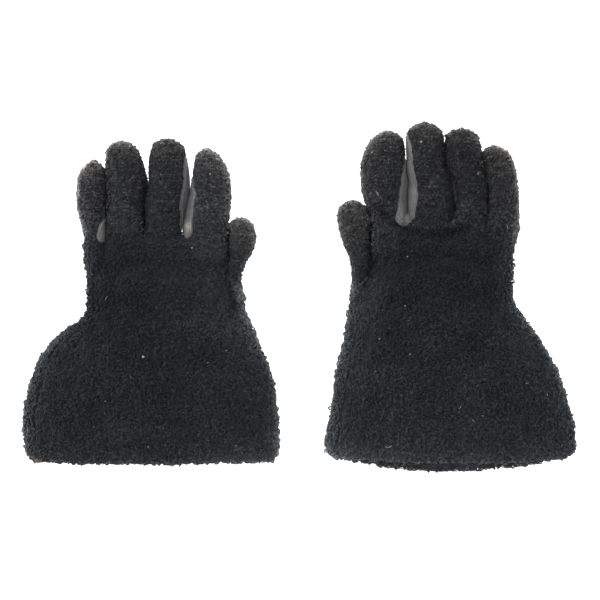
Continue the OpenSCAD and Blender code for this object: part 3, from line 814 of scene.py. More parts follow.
def scatter(P, Q, N, ok, spacing, seed):
    """Points spread over the quads marked ok, about one to every spacing squared."""
    r = np.random.default_rng(seed)
    q = Q[ok]
    if not len(q):
        return np.zeros((0, 3)), np.zeros((0, 3)), np.zeros(0, int)
    a, b, c, d = (P[q[:, i]] for i in range(4))
    area = 0.5 * np.linalg.norm(np.cross(c - a, d - b), axis=1)
    n = int(area.sum() / spacing ** 2 * 2.6)
    f = r.choice(len(q), n, p=area / area.sum())
    s, t = r.random(n), r.random(n)
    w = [(1 - s) * (1 - t), s * (1 - t), s * t, (1 - s) * t]
    p = sum(w[i][:, None] * P[q[f, i]] for i in range(4))
    m = sum(w[i][:, None] * N[q[f, i]] for i in range(4))
    m /= np.linalg.norm(m, axis=1)[:, None]
    cell = np.floor(p / (spacing * 0.92) + r.random(3)).astype(np.int64)
    key = cell[:, 0] * 73856093 ^ cell[:, 1] * 19349663 ^ cell[:, 2] * 83492791
    _, first = np.unique(key, return_index=True)
    first = np.sort(first)
    return p[first], m[first], q[f[first], 0]


def place(templates, p, n, size, tilt, lift, seed):
    """Copies of the templates standing on the points: vertices, quads, the copy each belongs to and its height in the copy."""
    r = np.random.default_rng(seed)
    m = len(p)
    ang = r.uniform(0, 2 * math.pi, m)
    ref = np.where(np.abs(n[:, 2:3]) < 0.9, np.array([[0, 0, 1.0]]), np.array([[1.0, 0, 0]]))
    t1 = np.cross(n, ref); t1 /= np.linalg.norm(t1, axis=1)[:, None]
    t2 = np.cross(n, t1)
    ta = np.cos(ang)[:, None] * t1 + np.sin(ang)[:, None] * t2
    tb = np.cross(n, ta)
    c, s = np.cos(tilt)[:, None], np.sin(tilt)[:, None]
    z = c * n + s * ta
    x = -s * n + c * ta
    kind = r.integers(0, len(templates), m)
    V, F, who, up = [], [], [], []
    base = 0
    for k, (tv, tf) in enumerate(templates):
        i = np.nonzero(kind == k)[0]
        if not len(i):
            continue
        e = tv[None] * size[i, None, None]
        v = p[i, None] + lift[i, None, None] * n[i, None] + e[..., 0:1] * x[i, None] + e[..., 1:2] * tb[i, None] + e[..., 2:3] * z[i, None]
        up.append((((v - p[i, None]) * n[i, None]).sum(2) / size[i, None]).ravel())
        V.append(v.reshape(-1, 3))
        F.append((tf[None] + (base + np.arange(len(i)) * len(tv))[:, None, None]).reshape(-1, 4))
        who.append(np.repeat(i, len(tv)))
        base += len(i) * len(tv)
    if not V:
        return np.zeros((0, 3)), np.zeros((0, 4), int), np.zeros(0, int), np.zeros(0)
    return np.vstack(V), np.vstack(F), np.concatenate(who), np.concatenate(up)


# ------------------------------------------------------------------ meshes
def compact(P, Q, *vals):
    used, inv = np.unique(Q, return_inverse=True)
    return (P[used], inv.reshape(Q.shape)) + tuple(v[used] for v in vals)


def mesh_object(G, name, P, Q, C, flag, mat, half=None):
    """A mesh object from glove-frame vertices in mm. flag says which half of the bake map each vertex falls in."""
    if G is not None:
        W = G.to_world(P)
        if G.sign < 0:
            Q = Q[:, ::-1]
    else:
        W = P / 1000
    tri = Q[:, 2] == Q[:, 3] if (G is None or G.sign > 0) else Q[:, 0] == Q[:, 1]
    if tri.any():
        if G is not None and G.sign < 0:
            q3 = Q[tri][:, 1:]
        else:
            q3 = Q[tri][:, :3]
        q4 = Q[~tri]
        loops = np.concatenate([q4.ravel(), q3.ravel()])
        totals = np.concatenate([np.full(len(q4), 4), np.full(len(q3), 3)])
    else:
        loops = Q.ravel()
        totals = np.full(len(Q), 4)
    me = bpy.data.meshes.new(name)
    me.vertices.add(len(W))
    me.vertices.foreach_set("co", W.astype(np.float32).ravel())
    me.loops.add(len(loops))
    me.loops.foreach_set("vertex_index", loops.astype(np.int32))
    me.polygons.add(len(totals))
    me.polygons.foreach_set("loop_start", np.concatenate([[0], np.cumsum(totals)[:-1]]).astype(np.int32))
    me.polygons.foreach_set("loop_total", totals.astype(np.int32))
    me.polygons.foreach_set("use_smooth", np.ones(len(totals), bool))
    me.update(calc_edges=True)
    col = me.color_attributes.new("Tint", "FLOAT_COLOR", "POINT")
    c4 = np.ones((len(W), 4), np.float32)
    c4[:, :3] = np.clip(C, 0, 1)
    col.data.foreach_set("color", c4.ravel())
    uv = me.uv_layers.new(name="OFBake")
    lo, hi = W.min(0), W.max(0)
    span = max(hi[0] - lo[0], 1e-6), max(hi[1] - lo[1], 1e-6)
    u = (W[:, 0] - lo[0]) / span[0]
    v = (W[:, 1] - lo[1]) / span[1]
    down = flag < 0
    uu = np.where(down, 0.505 + 0.49 * u, 0.005 + 0.49 * u)
    vv = 0.005 + 0.99 * v
    uv.data.foreach_set("uv", np.stack([uu[loops], vv[loops]], 1).astype(np.float32).ravel())
    ob = bpy.data.objects.new(name, me)
    bpy.context.scene.collection.objects.link(ob)
    me.materials.append(mat)
    return ob


# ------------------------------------------------------------------ materials
def new_material(name):
    m = bpy.data.materials.new(name)
    m.use_nodes = True
    nt = m.node_tree
    return m, nt, nt.nodes["Principled BSDF"]


def node(nt, kind, **inputs):
    n = nt.nodes.new(kind)
    for k, v in inputs.items():
        n.inputs[k.replace("_", " ")].default_value = v
    return n


def tint_times(nt, bsdf, fac_socket, lo, hi):
    """Base colour: the mesh's tint, scaled between lo and hi by a 0 to 1 value."""
    tint = nt.nodes.new("ShaderNodeVertexColor"); tint.layer_name = "Tint"
    rng = nt.nodes.new("ShaderNodeMapRange")
    rng.inputs["From Min"].default_value = 0.25
    rng.inputs["From Max"].default_value = 0.75
    rng.inputs["To Min"].default_value = lo
    rng.inputs["To Max"].default_value = hi
    nt.links.new(fac_socket, rng.inputs["Value"])
    mul = nt.nodes.new("ShaderNodeVectorMath"); mul.operation = "SCALE"
    nt.links.new(tint.outputs["Color"], mul.inputs[0])
    nt.links.new(rng.outputs["Result"], mul.inputs["Scale"])
    nt.links.new(mul.outputs["Vector"], bsdf.inputs["Base Color"])


def pile_material():
    m, nt, b = new_material("curly_pile")
    co = nt.nodes.new("ShaderNodeTexCoord")
    fine = node(nt, "ShaderNodeTexNoise", Scale=900.0, Detail=3.0, Roughness=0.65)
    wide = node(nt, "ShaderNodeTexNoise", Scale=70.0, Detail=2.0)
    nt.links.new(co.outputs["Object"], fine.inputs["Vector"])
    nt.links.new(co.outputs["Object"], wide.inputs["Vector"])
    mix = nt.nodes.new("ShaderNodeMath"); mix.operation = "MULTIPLY_ADD"
    mix.inputs[1].default_value = 0.6
    half = nt.nodes.new("ShaderNodeMath"); half.operation = "MULTIPLY"; half.inputs[1].default_value = 0.4
    nt.links.new(wide.outputs["Fac"], half.inputs[0])
    nt.links.new(fine.outputs["Fac"], mix.inputs[0])
    nt.links.new(half.outputs[0], mix.inputs[2])
    tint_times(nt, b, mix.outputs[0], 0.55, 1.45)
    strand = node(nt, "ShaderNodeTexWave", Scale=420.0, Distortion=7.0, Detail=2.0)
    strand.inputs["Detail Scale"].default_value = 1.6
    nt.links.new(co.outputs["Object"], strand.inputs["Vector"])
    add = nt.nodes.new("ShaderNodeMath"); add.operation = "ADD"
    nt.links.new(strand.outputs["Fac"], add.inputs[0])
    nt.links.new(fine.outputs["Fac"], add.inputs[1])
    bump = nt.nodes.new("ShaderNodeBump")
    bump.inputs["Strength"].default_value = 0.55
    bump.inputs["Distance"].default_value = 0.0004
    nt.links.new(add.outputs[0], bump.inputs["Height"])
    nt.links.new(bump.outputs["Normal"], b.inputs["Normal"])
    rough = nt.nodes.new("ShaderNodeMapRange")
    rough.inputs["To Min"].default_value = 0.80
    rough.inputs["To Max"].default_value = 1.0
    nt.links.new(fine.outputs["Fac"], rough.inputs["Value"])
    nt.links.new(rough.outputs["Result"], b.inputs["Roughness"])
    b.inputs["Specular IOR Level"].default_value = 0.12
    b.inputs["Sheen Weight"].default_value = 0.05
    b.inputs["Sheen Roughness"].default_value = 0.6
    b.inputs["Sheen Tint"].default_value = (0.75, 0.78, 0.85, 1)
    return m


def leather_material():
    m, nt, b = new_material("grain_leather")
    co = nt.nodes.new("ShaderNodeTexCoord")
    cells = node(nt, "ShaderNodeTexVoronoi", Scale=850.0)
    cells.feature = "DISTANCE_TO_EDGE"
    nap = node(nt, "ShaderNodeTexNoise", Scale=260.0, Detail=5.0, Roughness=0.7)
    crease = node(nt, "ShaderNodeTexNoise", Scale=90.0, Detail=3.0, Distortion=1.5)
    for n in (cells, nap, crease):
        nt.links.new(co.outputs["Object"], n.inputs["Vector"])
    tint_times(nt, b, nap.outputs["Fac"], 0.78, 1.22)
    a = nt.nodes.new("ShaderNodeMath"); a.operation = "MULTIPLY_ADD"; a.inputs[1].default_value = 1.4
    nt.links.new(cells.outputs["Distance"], a.inputs[0])
    nt.links.new(nap.outputs["Fac"], a.inputs[2])
    c = nt.nodes.new("ShaderNodeMath"); c.operation = "MULTIPLY_ADD"; c.inputs[1].default_value = 1.5
    nt.links.new(crease.outputs["Fac"], c.inputs[0])
    nt.links.new(a.outputs[0], c.inputs[2])
    bump = nt.nodes.new("ShaderNodeBump")
    bump.inputs["Strength"].default_value = 0.45
    bump.inputs["Distance"].default_value = 0.0003
    nt.links.new(c.outputs[0], bump.inputs["Height"])
    nt.links.new(bump.outputs["Normal"], b.inputs["Normal"])
    rough = nt.nodes.new("ShaderNodeMapRange")
    rough.inputs["To Min"].default_value = 0.55
    rough.inputs["To Max"].default_value = 0.85
    nt.links.new(crease.outputs["Fac"], rough.inputs["Value"])
    nt.links.new(rough.outputs["Result"], b.inputs["Roughness"])
    b.inputs["Specular IOR Level"].default_value = 0.35
    b.inputs["Sheen Weight"].default_value = 0.08
    return m


def liner_material():
    m, nt, b = new_material("brushed_knit")
    co = nt.nodes.new("ShaderNodeTexCoord")
    rib = node(nt, "ShaderNodeTexWave", Scale=170.0, Distortion=0.6, Detail=1.0)
    rib.bands_direction = "X"
    row = node(nt, "ShaderNodeTexWave", Scale=240.0, Distortion=1.2, Detail=1.0)
    row.bands_direction = "Y"
    fuzz = node(nt, "ShaderNodeTexNoise", Scale=1100.0, Detail=3.0)
    for n in (rib, row, fuzz):
        nt.links.new(co.outputs["Object"], n.inputs["Vector"])
    mul = nt.nodes.new("ShaderNodeMath"); mul.operation = "MULTIPLY"
    nt.links.new(rib.outputs["Fac"], mul.inputs[0])
    nt.links.new(row.outputs["Fac"], mul.inputs[1])
    add = nt.nodes.new("ShaderNodeMath"); add.operation = "MULTIPLY_ADD"; add.inputs[1].default_value = 0.6
    nt.links.new(fuzz.outputs["Fac"], add.inputs[0])
    nt.links.new(mul.outputs[0], add.inputs[2])
    tint_times(nt, b, add.outputs[0], 0.7, 1.3)
    bump = nt.nodes.new("ShaderNodeBump")
    bump.inputs["Strength"].default_value = 0.6
    bump.inputs["Distance"].default_value = 0.0005
    nt.links.new(add.outputs[0], bump.inputs["Height"])
    nt.links.new(bump.outputs["Normal"], b.inputs["Normal"])
    rough = nt.nodes.new("ShaderNodeMapRange")
    rough.inputs["To Min"].default_value = 0.85
    rough.inputs["To Max"].default_value = 1.0
    nt.links.new(fuzz.outputs["Fac"], rough.inputs["Value"])
    nt.links.new(rough.outputs["Result"], b.inputs["Roughness"])
    b.inputs["Sheen Weight"].default_value = 0.15
    return m


PILE, LEATHER, LINER = pile_material(), leather_material(), liner_material()


# ------------------------------------------------------------------ pieces
def world(G, u, v, z=0.0):
    return tuple(float(x) for x in G.to_world(np.array([u, v, z])))


def attach(G, ob, move, nodes):
    if move[0] == "ride":
        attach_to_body(ob, f"{G.side}_{move[1]}")
    else:
        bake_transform(ob)
    if nodes:
        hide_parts(*[f"{G.side}_{n}" for n in nodes])


def press(P):
    """Nothing goes through the plane the gloves lie on: pile there is squashed flat."""
    P = P.copy()
    low = P[:, 2] < 0.35
    P[low, 2] = 0.12 + 0.23 * np.clip((P[low, 2] + 2.0) / 2.35, 0, 1)
    return P


def curly(G, c, n, stall):
    """Where the outline is ragged: gauntlet, hem, outer edge of the hand, ring and little finger, fingertips and thumb."""
    if stall == 0:
        return (c[:, 1] < 44) | (np.abs(n[:, 0]) > 0.3)
    if stall == 5:
        return n[:, 0] > -0.3
    tip = n[:, 1] > 0.45
    if stall >= 3:
        return tip | (n[:, 0] < -0.25)
    return tip | (n[:, 0] > 0.4) if stall == 1 else tip


def outlying(G, P, stall, n):
    """Side walls that face away from the glove, where painted rim light makes the pile brighter."""
    if stall == 0:
        lo, hi = G.edges(P[:, 1])
        return (P[:, 1] < 40) | (P[:, 0] < lo + 8) | (P[:, 0] > hi - 8)
    return curly(G, P, n, stall) | (n[:, 1] > 0.35)


def pile_piece(G, name, skin, P, faces, g, stall, move, nodes, spacing, size, seed, colour, split=1, hairs=1.0, glow=1.0):
    """The backing of a pile panel with its loops and loose hairs."""
    Q = skin.Q[faces]
    okc = g[Q].min(1) > 0.9
    r = np.random.default_rng(seed)
    p, n, near = scatter(P, Q, skin.N, okc, spacing, seed)
    p2, n2, near2 = scatter(P, Q, skin.N, okc, spacing * 1.5, seed + 1)
    p, n = np.vstack([p, p2]), np.vstack([n, n2])
    sz = size * r.uniform(0.72, 1.22, len(p))
    flat = np.clip(1 - p[:, 2] / 3.0, 0, 1)          # pressed pile under the glove
    tilt = r.uniform(0.35, 1.55, len(p)) * (1 - flat)
    lift = sz * (0.30 - 0.12 * flat)
    # longer curls stand out round the outline
    fn = skin.N[Q].mean(1)
    wild = okc & (np.abs(fn[:, 2]) < 0.62) & curly(G, P[Q].mean(1), fn, stall)
    if wild.any():
        tp, tn, tnear = scatter(P, Q, skin.N, wild, 3.1 if stall == 0 else 2.6, seed + 5)
        ts = (1.55 if stall == 0 else 1.25) * r.uniform(0.75, 1.25, len(tp))
        p, n, sz = np.vstack([p, tp]), np.vstack([n, tn]), np.concatenate([sz, ts])
        tilt = np.concatenate([tilt, r.uniform(0.5, 1.57, len(tp))])
        lift = np.concatenate([lift, ts * r.uniform(0.25, 0.6, len(tp))])
    V, F, who, up = place(TEMPLATES, p, n, sz, tilt, lift, seed + 2)
    fine_ = 1.0 if stall else 0.72
    # random tone per loop, times painted shade: each loop painted darker at its root and paler at its top
    tone_and_root_shade = np.exp(r.normal(0, 0.26 * fine_, len(p)))[who] * (0.66 + 0.08 * (1 - fine_) * 4 + 0.46 * fine_ * np.clip(up, -0.7, 1.4))
    # rim: painted rim light, the pile on outward side walls painted up to 1.7 times brighter
    rim = lambda x, m: 1 + 0.7 * np.clip(1 - np.abs(m[:, 2]) * 1.15, 0, 1) ** 1.2 * outlying(G, x, stall, m) * step(8, 15, x[:, 2])
    C = colour(G, V, stall) * (tone_and_root_shade * rim(V, n[who]) * glow)[:, None]
    hp, hn, hi = scatter(P, Q, skin.N, okc, 7.0 / math.sqrt(max(hairs, 1e-3)), seed + 3)
    k = hp[:, 2] > 3
    hp, hn = hp[k], hn[k]
    hs = r.uniform(1.6, 3.4, len(hp))
    HV, HF, hw, hu = place(HAIRS, hp, hn, hs, r.uniform(0.1, 1.0, len(hp)), np.zeros(len(hp)), seed + 4)
    HC = colour(G, HV, stall) * 1.35
    LV, LF = lint(G, P, skin.N, Q[okc], seed + 6) if not name.startswith("cuff_under") else (np.zeros((0, 3)), np.zeros((0, 4), int))
    if len(LV):
        HF = np.vstack([HF, LF + len(HV)])
        HV = np.vstack([HV, LV])
        HC = np.vstack([HC, np.tile([0.42, 0.42, 0.41], (len(LV), 1))])
    Pb, Qb, Nb = compact(P, Q, skin.N)
    # underneath, the backing stays a little above the squashed loops
    Pb[:, 2] = np.where((Nb[:, 2] < -0.2) & (Pb[:, 2] < 0.9), 0.9, Pb[:, 2])
    # painted shade: the backing under the loops is painted darker, 0.66 on the gauntlet and 0.75 elsewhere
    C0 = colour(G, Pb, stall) * ((0.66 if stall == 0 else 0.75) * glow * rim(Pb, Nb))[:, None]
    V, HV = press(V), press(HV)
    fl_b = np.where(Nb[:, 2] < -0.15, -1, 1)
    fl_v = np.where(n[who][:, 2] < -0.15, -1, 1) if len(who) else np.zeros(0)
    fl_h = np.ones(len(HV))
    parts = []
    if split == 1:
        allP = np.vstack([Pb, V, HV])
        allQ = np.vstack([Qb, F + len(Pb), HF + len(Pb) + len(V)]) if len(HV) else np.vstack([Qb, F + len(Pb)])
        allC = np.vstack([C0, C, HC])
        parts.append((name, allP, allQ, allC, np.concatenate([fl_b, fl_v, fl_h])))
    else:
        allP = np.vstack([Pb, HV]); allQ = np.vstack([Qb, HF + len(Pb)])
        parts.append((name, allP, allQ, np.vstack([C0, HC]), np.concatenate([fl_b, fl_h])))
        cu = p[who][:, 0]
        q = np.quantile(p[:, 0], np.linspace(0, 1, split + 1))
        q[0], q[-1] = -1e9, 1e9
        fc = cu[F[:, 0]]
        for k in range(split):
            m = (fc >= q[k]) & (fc < q[k + 1])
            if m.any():
                v, f, c, fl = compact(V, F[m], C, fl_v)
                parts.append((f"{name}_loops_{k + 1}", v, f, c, fl))
    out = []
    for i, (nm, v, f, c, fl) in enumerate(parts):
        if G.s == 0:
            c = corner_wear(G, v, c)
        ob = mesh_object(G, f"{G.side}_{nm}", press(v), f, c, fl, PILE)
        attach(G, ob, move, nodes if i == 0 else [])
        out.append(ob)
    return out


def plain_piece(G, name, P, Q, N, C, move, nodes, mat, extra=None):
    Pb, Qb, Nb, Cb = compact(P, Q, N, C)
    if extra is not None and len(extra[0]):
        Qb = np.vstack([Qb, extra[1] + len(Pb)])
        Pb, Cb = np.vstack([Pb, extra[0]]), np.vstack([Cb, extra[2]])
        Nb = np.vstack([Nb, np.tile([0, 0, 1.0], (len(extra[0]), 1))])
    ob = mesh_object(G, f"{G.side}_{name}", press(Pb), Qb, Cb, np.where(Nb[:, 2] < -0.15, -1, 1), mat)
    attach(G, ob, move, nodes)
    return ob


def trim(P, Q, g):
    """Faces where g is above zero, the border vertices drawn onto the line where g is zero."""
    A = np.zeros_like(P)
    n = np.zeros(len(P))
    for k in range(4):
        for a, b in ((Q[:, k], Q[:, (k + 1) % 4]), (Q[:, (k + 1) % 4], Q[:, k])):
            m = (g[a] < 0) & (g[b] >= 0)
            a, b = a[m], b[m]
            t = (g[a] / (g[a] - g[b]))[:, None]
            np.add.at(A, a, P[a] + t * (P[b] - P[a]))
            np.add.at(n, a, 1)
    out = P.copy()
    m = n > 0
    out[m] = A[m] / n[m, None]
    ok = (g >= 0) | m
    keep = ok[Q].all(1) & (g[Q] >= 0).any(1)
    return out, keep


def seam_lines(P, N, Q, g):
    """Chains of points where g crosses zero, with normals and the way to the leather side."""
    S = g[Q] >= 0
    x = S != np.roll(S, -1, axis=1)
    two = x.sum(1) == 2
    Q, x = Q[two], x[two]
    e = np.argsort(~x, axis=1, kind="stable")[:, :2]
    row = np.arange(len(Q))
    ends = []
    for k in (0, 1):
        a, b = Q[row, e[:, k]], Q[row, (e[:, k] + 1) % 4]
        ends.append(np.minimum(a, b) * (len(P) + 1) + np.maximum(a, b))
    if not len(Q):
        return []
    keys, inv = np.unique(np.stack(ends, 1), return_inverse=True)
    inv = inv.reshape(-1, 2)
    a, b = keys // (len(P) + 1), keys % (len(P) + 1)
    t = (g[a] / (g[a] - g[b]))[:, None]
    pos = P[a] + t * (P[b] - P[a])
    nor = N[a] + t * (N[b] - N[a])
    way = np.where((g[a] < g[b])[:, None], P[a] - P[b], P[b] - P[a])
    link = [[] for _ in keys]
    for p, q in inv:
        link[p].append(q); link[q].append(p)
    seen = np.zeros(len(keys), bool)
    out = []
    starts = [i for i in range(len(keys)) if len(link[i]) == 1] + list(range(len(keys)))
    for s0 in starts:
        if seen[s0]:
            continue
        chain, cur = [s0], s0
        seen[s0] = True
        while True:
            nxt = [q for q in link[cur] if not seen[q]]
            if not nxt:
                break
            cur = nxt[0]
            seen[cur] = True
            chain.append(cur)
        if len(chain) > 6:
            closed = s0 in link[cur] and len(chain) > 8
            c = pos[chain].copy(); n = nor[chain].copy(); w = way[chain].copy()
            if closed:
                c, n, w = (np.vstack([z, z[:1]]) for z in (c, n, w))
            for _ in range(5):
                for z in (c, n, w):
                    z[1:-1] = 0.5 * z[1:-1] + 0.25 * (z[:-2] + z[2:])
            L = np.concatenate([[0], np.cumsum(np.linalg.norm(np.diff(c, axis=0), axis=1))])
            m = max(int(L[-1] / 1.0), 4)
            u = np.linspace(0, L[-1], m + 1)
            r = [np.stack([np.interp(u, L, z[:, k]) for k in range(3)], 1) for z in (c, n, w)]
            out.append(r)
    return out


def rope(c, n, radius, sides, rise):
    """A thin welt along a chain of points."""
    t = np.gradient(c, axis=0)
    t /= np.maximum(np.linalg.norm(t, axis=1), 1e-9)[:, None]
    n = n - (n * t).sum(1)[:, None] * t
    n /= np.maximum(np.linalg.norm(n, axis=1), 1e-9)[:, None]
    b = np.cross(t, n)
    ph = np.arange(sides) * 2 * math.pi / sides
    r = np.asarray(radius) * np.ones(len(c))
    V = (c + n * rise)[:, None] + r[:, None, None] * (np.cos(ph)[None, :, None] * n[:, None] + np.sin(ph)[None, :, None] * b[:, None])
    m = len(c)
    i = np.arange(m - 1)[:, None] * sides
    k = np.arange(sides)[None]
    F = np.stack([i + k, i + (k + 1) % sides, i + sides + (k + 1) % sides, i + sides + k], -1).reshape(-1, 4)[:, ::-1]
    V = V.reshape(-1, 3)
    cap = []
    for base, flip in ((0, 1), ((m - 1) * sides, 0)):
        q = [base, base + 1, base + 2, base + 3] if sides == 4 else None
        if q:
            cap.append(q if flip else q[::-1])
        else:
            for a in range(1, sides - 1):
                tri = [base, base + a, base + a + 1]
                tri = tri if flip else tri[::-1]
                cap.append(tri + [tri[-1]])
    return V, np.vstack([F, np.array(cap)])


def sewing(G, lines, lift, colour):
    """The welt along each seam and the stitches beside it, as one lot of vertices, quads and tints."""
    VV, FF, CC = [], [], []
    base = 0

    def add(V, F, tint):
        nonlocal base
        VV.append(V); FF.append(F + base); CC.append(tint)
        base += len(V)
    for c, n, w in lines:
        n = n / np.maximum(np.linalg.norm(n, axis=1), 1e-9)[:, None]
        c = lift(c, n)
        wob = 0.42 + 0.07 * value_noise(c, 3.0, 91)
        V, F = rope(c, n, wob, 6, 0.18)
        add(V, F, colour(G, V) * 1.4)
        t = np.gradient(c, axis=0)
        t /= np.maximum(np.linalg.norm(t, axis=1), 1e-9)[:, None]
        b = np.cross(t, n)
        b *= np.sign((b * w).sum(1) + 1e-12)[:, None]
        for k in range(2, len(c) - 2, 3):
            p = c[k] + b[k] * 1.15 - n[k] * 0.02
            s_ = np.array([-0.95, -0.6, 0.0, 0.6, 0.95])
            path = p[None] + t[k][None] * s_[:, None] + n[k][None] * np.array([-0.22, 0.04, 0.12, 0.04, -0.22])[:, None]
            V, F = rope(path, np.tile(n[k], (5, 1)), [0.10, 0.19, 0.21, 0.19, 0.10], 5, 0.0)
            add(V, F, np.tile([0.020, 0.020, 0.022], (len(V), 1)))
    if not VV:
        return np.zeros((0, 3)), np.zeros((0, 4), int), np.zeros((0, 3))
    return np.vstack(VV), np.vstack(FF), np.vstack(CC)


# lint and odd fibres: u, v, kind (0 speck, 1 fibre, 2 long curved fibre), size
LINT = [
    [[-18.0, -43.1, 0, 1.5], [-50.3, -80.5, 0, 0.9], [-13.7, -118.8, 0, 0.9], [-49.4, 7.0, 1, 3.4], [-22.2, 69.9, 1, 5.0],
     [-20.6, 66.5, 1, 3.2], [22.6, 49.5, 0, 1.0], [18.0, 127.0, 1, 3.0], [60.2, -118.0, 0, 0.8], [36.0, -48.0, 0, 0.7],
     [52.0, -38.0, 0, 0.7], [-60.0, -102.0, 0, 0.6], [38.0, 112.0, 0, 1.0]],
    [[45.1, -32.9, 0, 1.0], [19.6, -45.7, 0, 1.0], [23.0, -4.9, 0, 0.9], [47.6, -60.1, 0, 0.8], [9.4, 133.7, 0, 1.4],
     [-39.1, 108.2, 1, 2.8], [-38.4, 107.0, 0, 1.1], [50.2, 125.2, 0, 0.9], [45.9, 89.5, 1, 3.6], [47.2, 90.4, 1, 3.0],
     [20.4, 36.8, 0, 0.9], [-34.0, -101.0, 1, 2.2], [-41.6, -97.5, 0, 0.8], [-96.9, -79.7, 1, 2.6], [-22.9, -90.7, 1, 2.4],
     [-79.0, -69.5, 1, 2.4], [37.4, -123.0, 2, 5.5], [-63.0, 62.0, 1, 2.2]],
]


def lint(G, P, N, Q, seed):
    """Specks and fibres caught on the pile that lies under the listed spots."""
    c, n = P[Q].mean(1), N[Q].mean(1)
    VV, FF = [], []
    base = 0
    r = np.random.default_rng(seed)
    for u, v, kind, size in LINT[G.s]:
        d = np.hypot(c[:, 0] - u, c[:, 1] - v) + 9 * (n[:, 2] < 0.2)
        k = int(d.argmin())
        if d[k] > 1.4:
            continue
        p = c[k] + n[k] * 1.3
        if kind == 0:
            V = TEMPLATES[int(r.integers(8))]
            V, F = V[0] * np.array([0.55, 0.38, 0.3]) * size + p, V[1]
        else:
            a = r.uniform(0, 3.14)
            t = np.linspace(-0.5, 0.5, 9)[:, None] * size
            bend = (0.9 if kind == 2 else 0.35) * size * (0.25 - (t / size) ** 2)
            x, y = np.array([math.cos(a), math.sin(a), 0.15]), np.array([-math.sin(a), math.cos(a), 0.3])
            V, F = rope(p + t * x + bend * y, np.tile(n[k], (9, 1)), 0.13 if kind == 1 else 0.2, 5, 0.2)
        VV.append(V); FF.append(F + base)
        base += len(V)
    if not VV:
        return np.zeros((0, 3)), np.zeros((0, 4), int)
    return np.vstack(VV), np.vstack(FF)


WRIST_CUT = -15.5


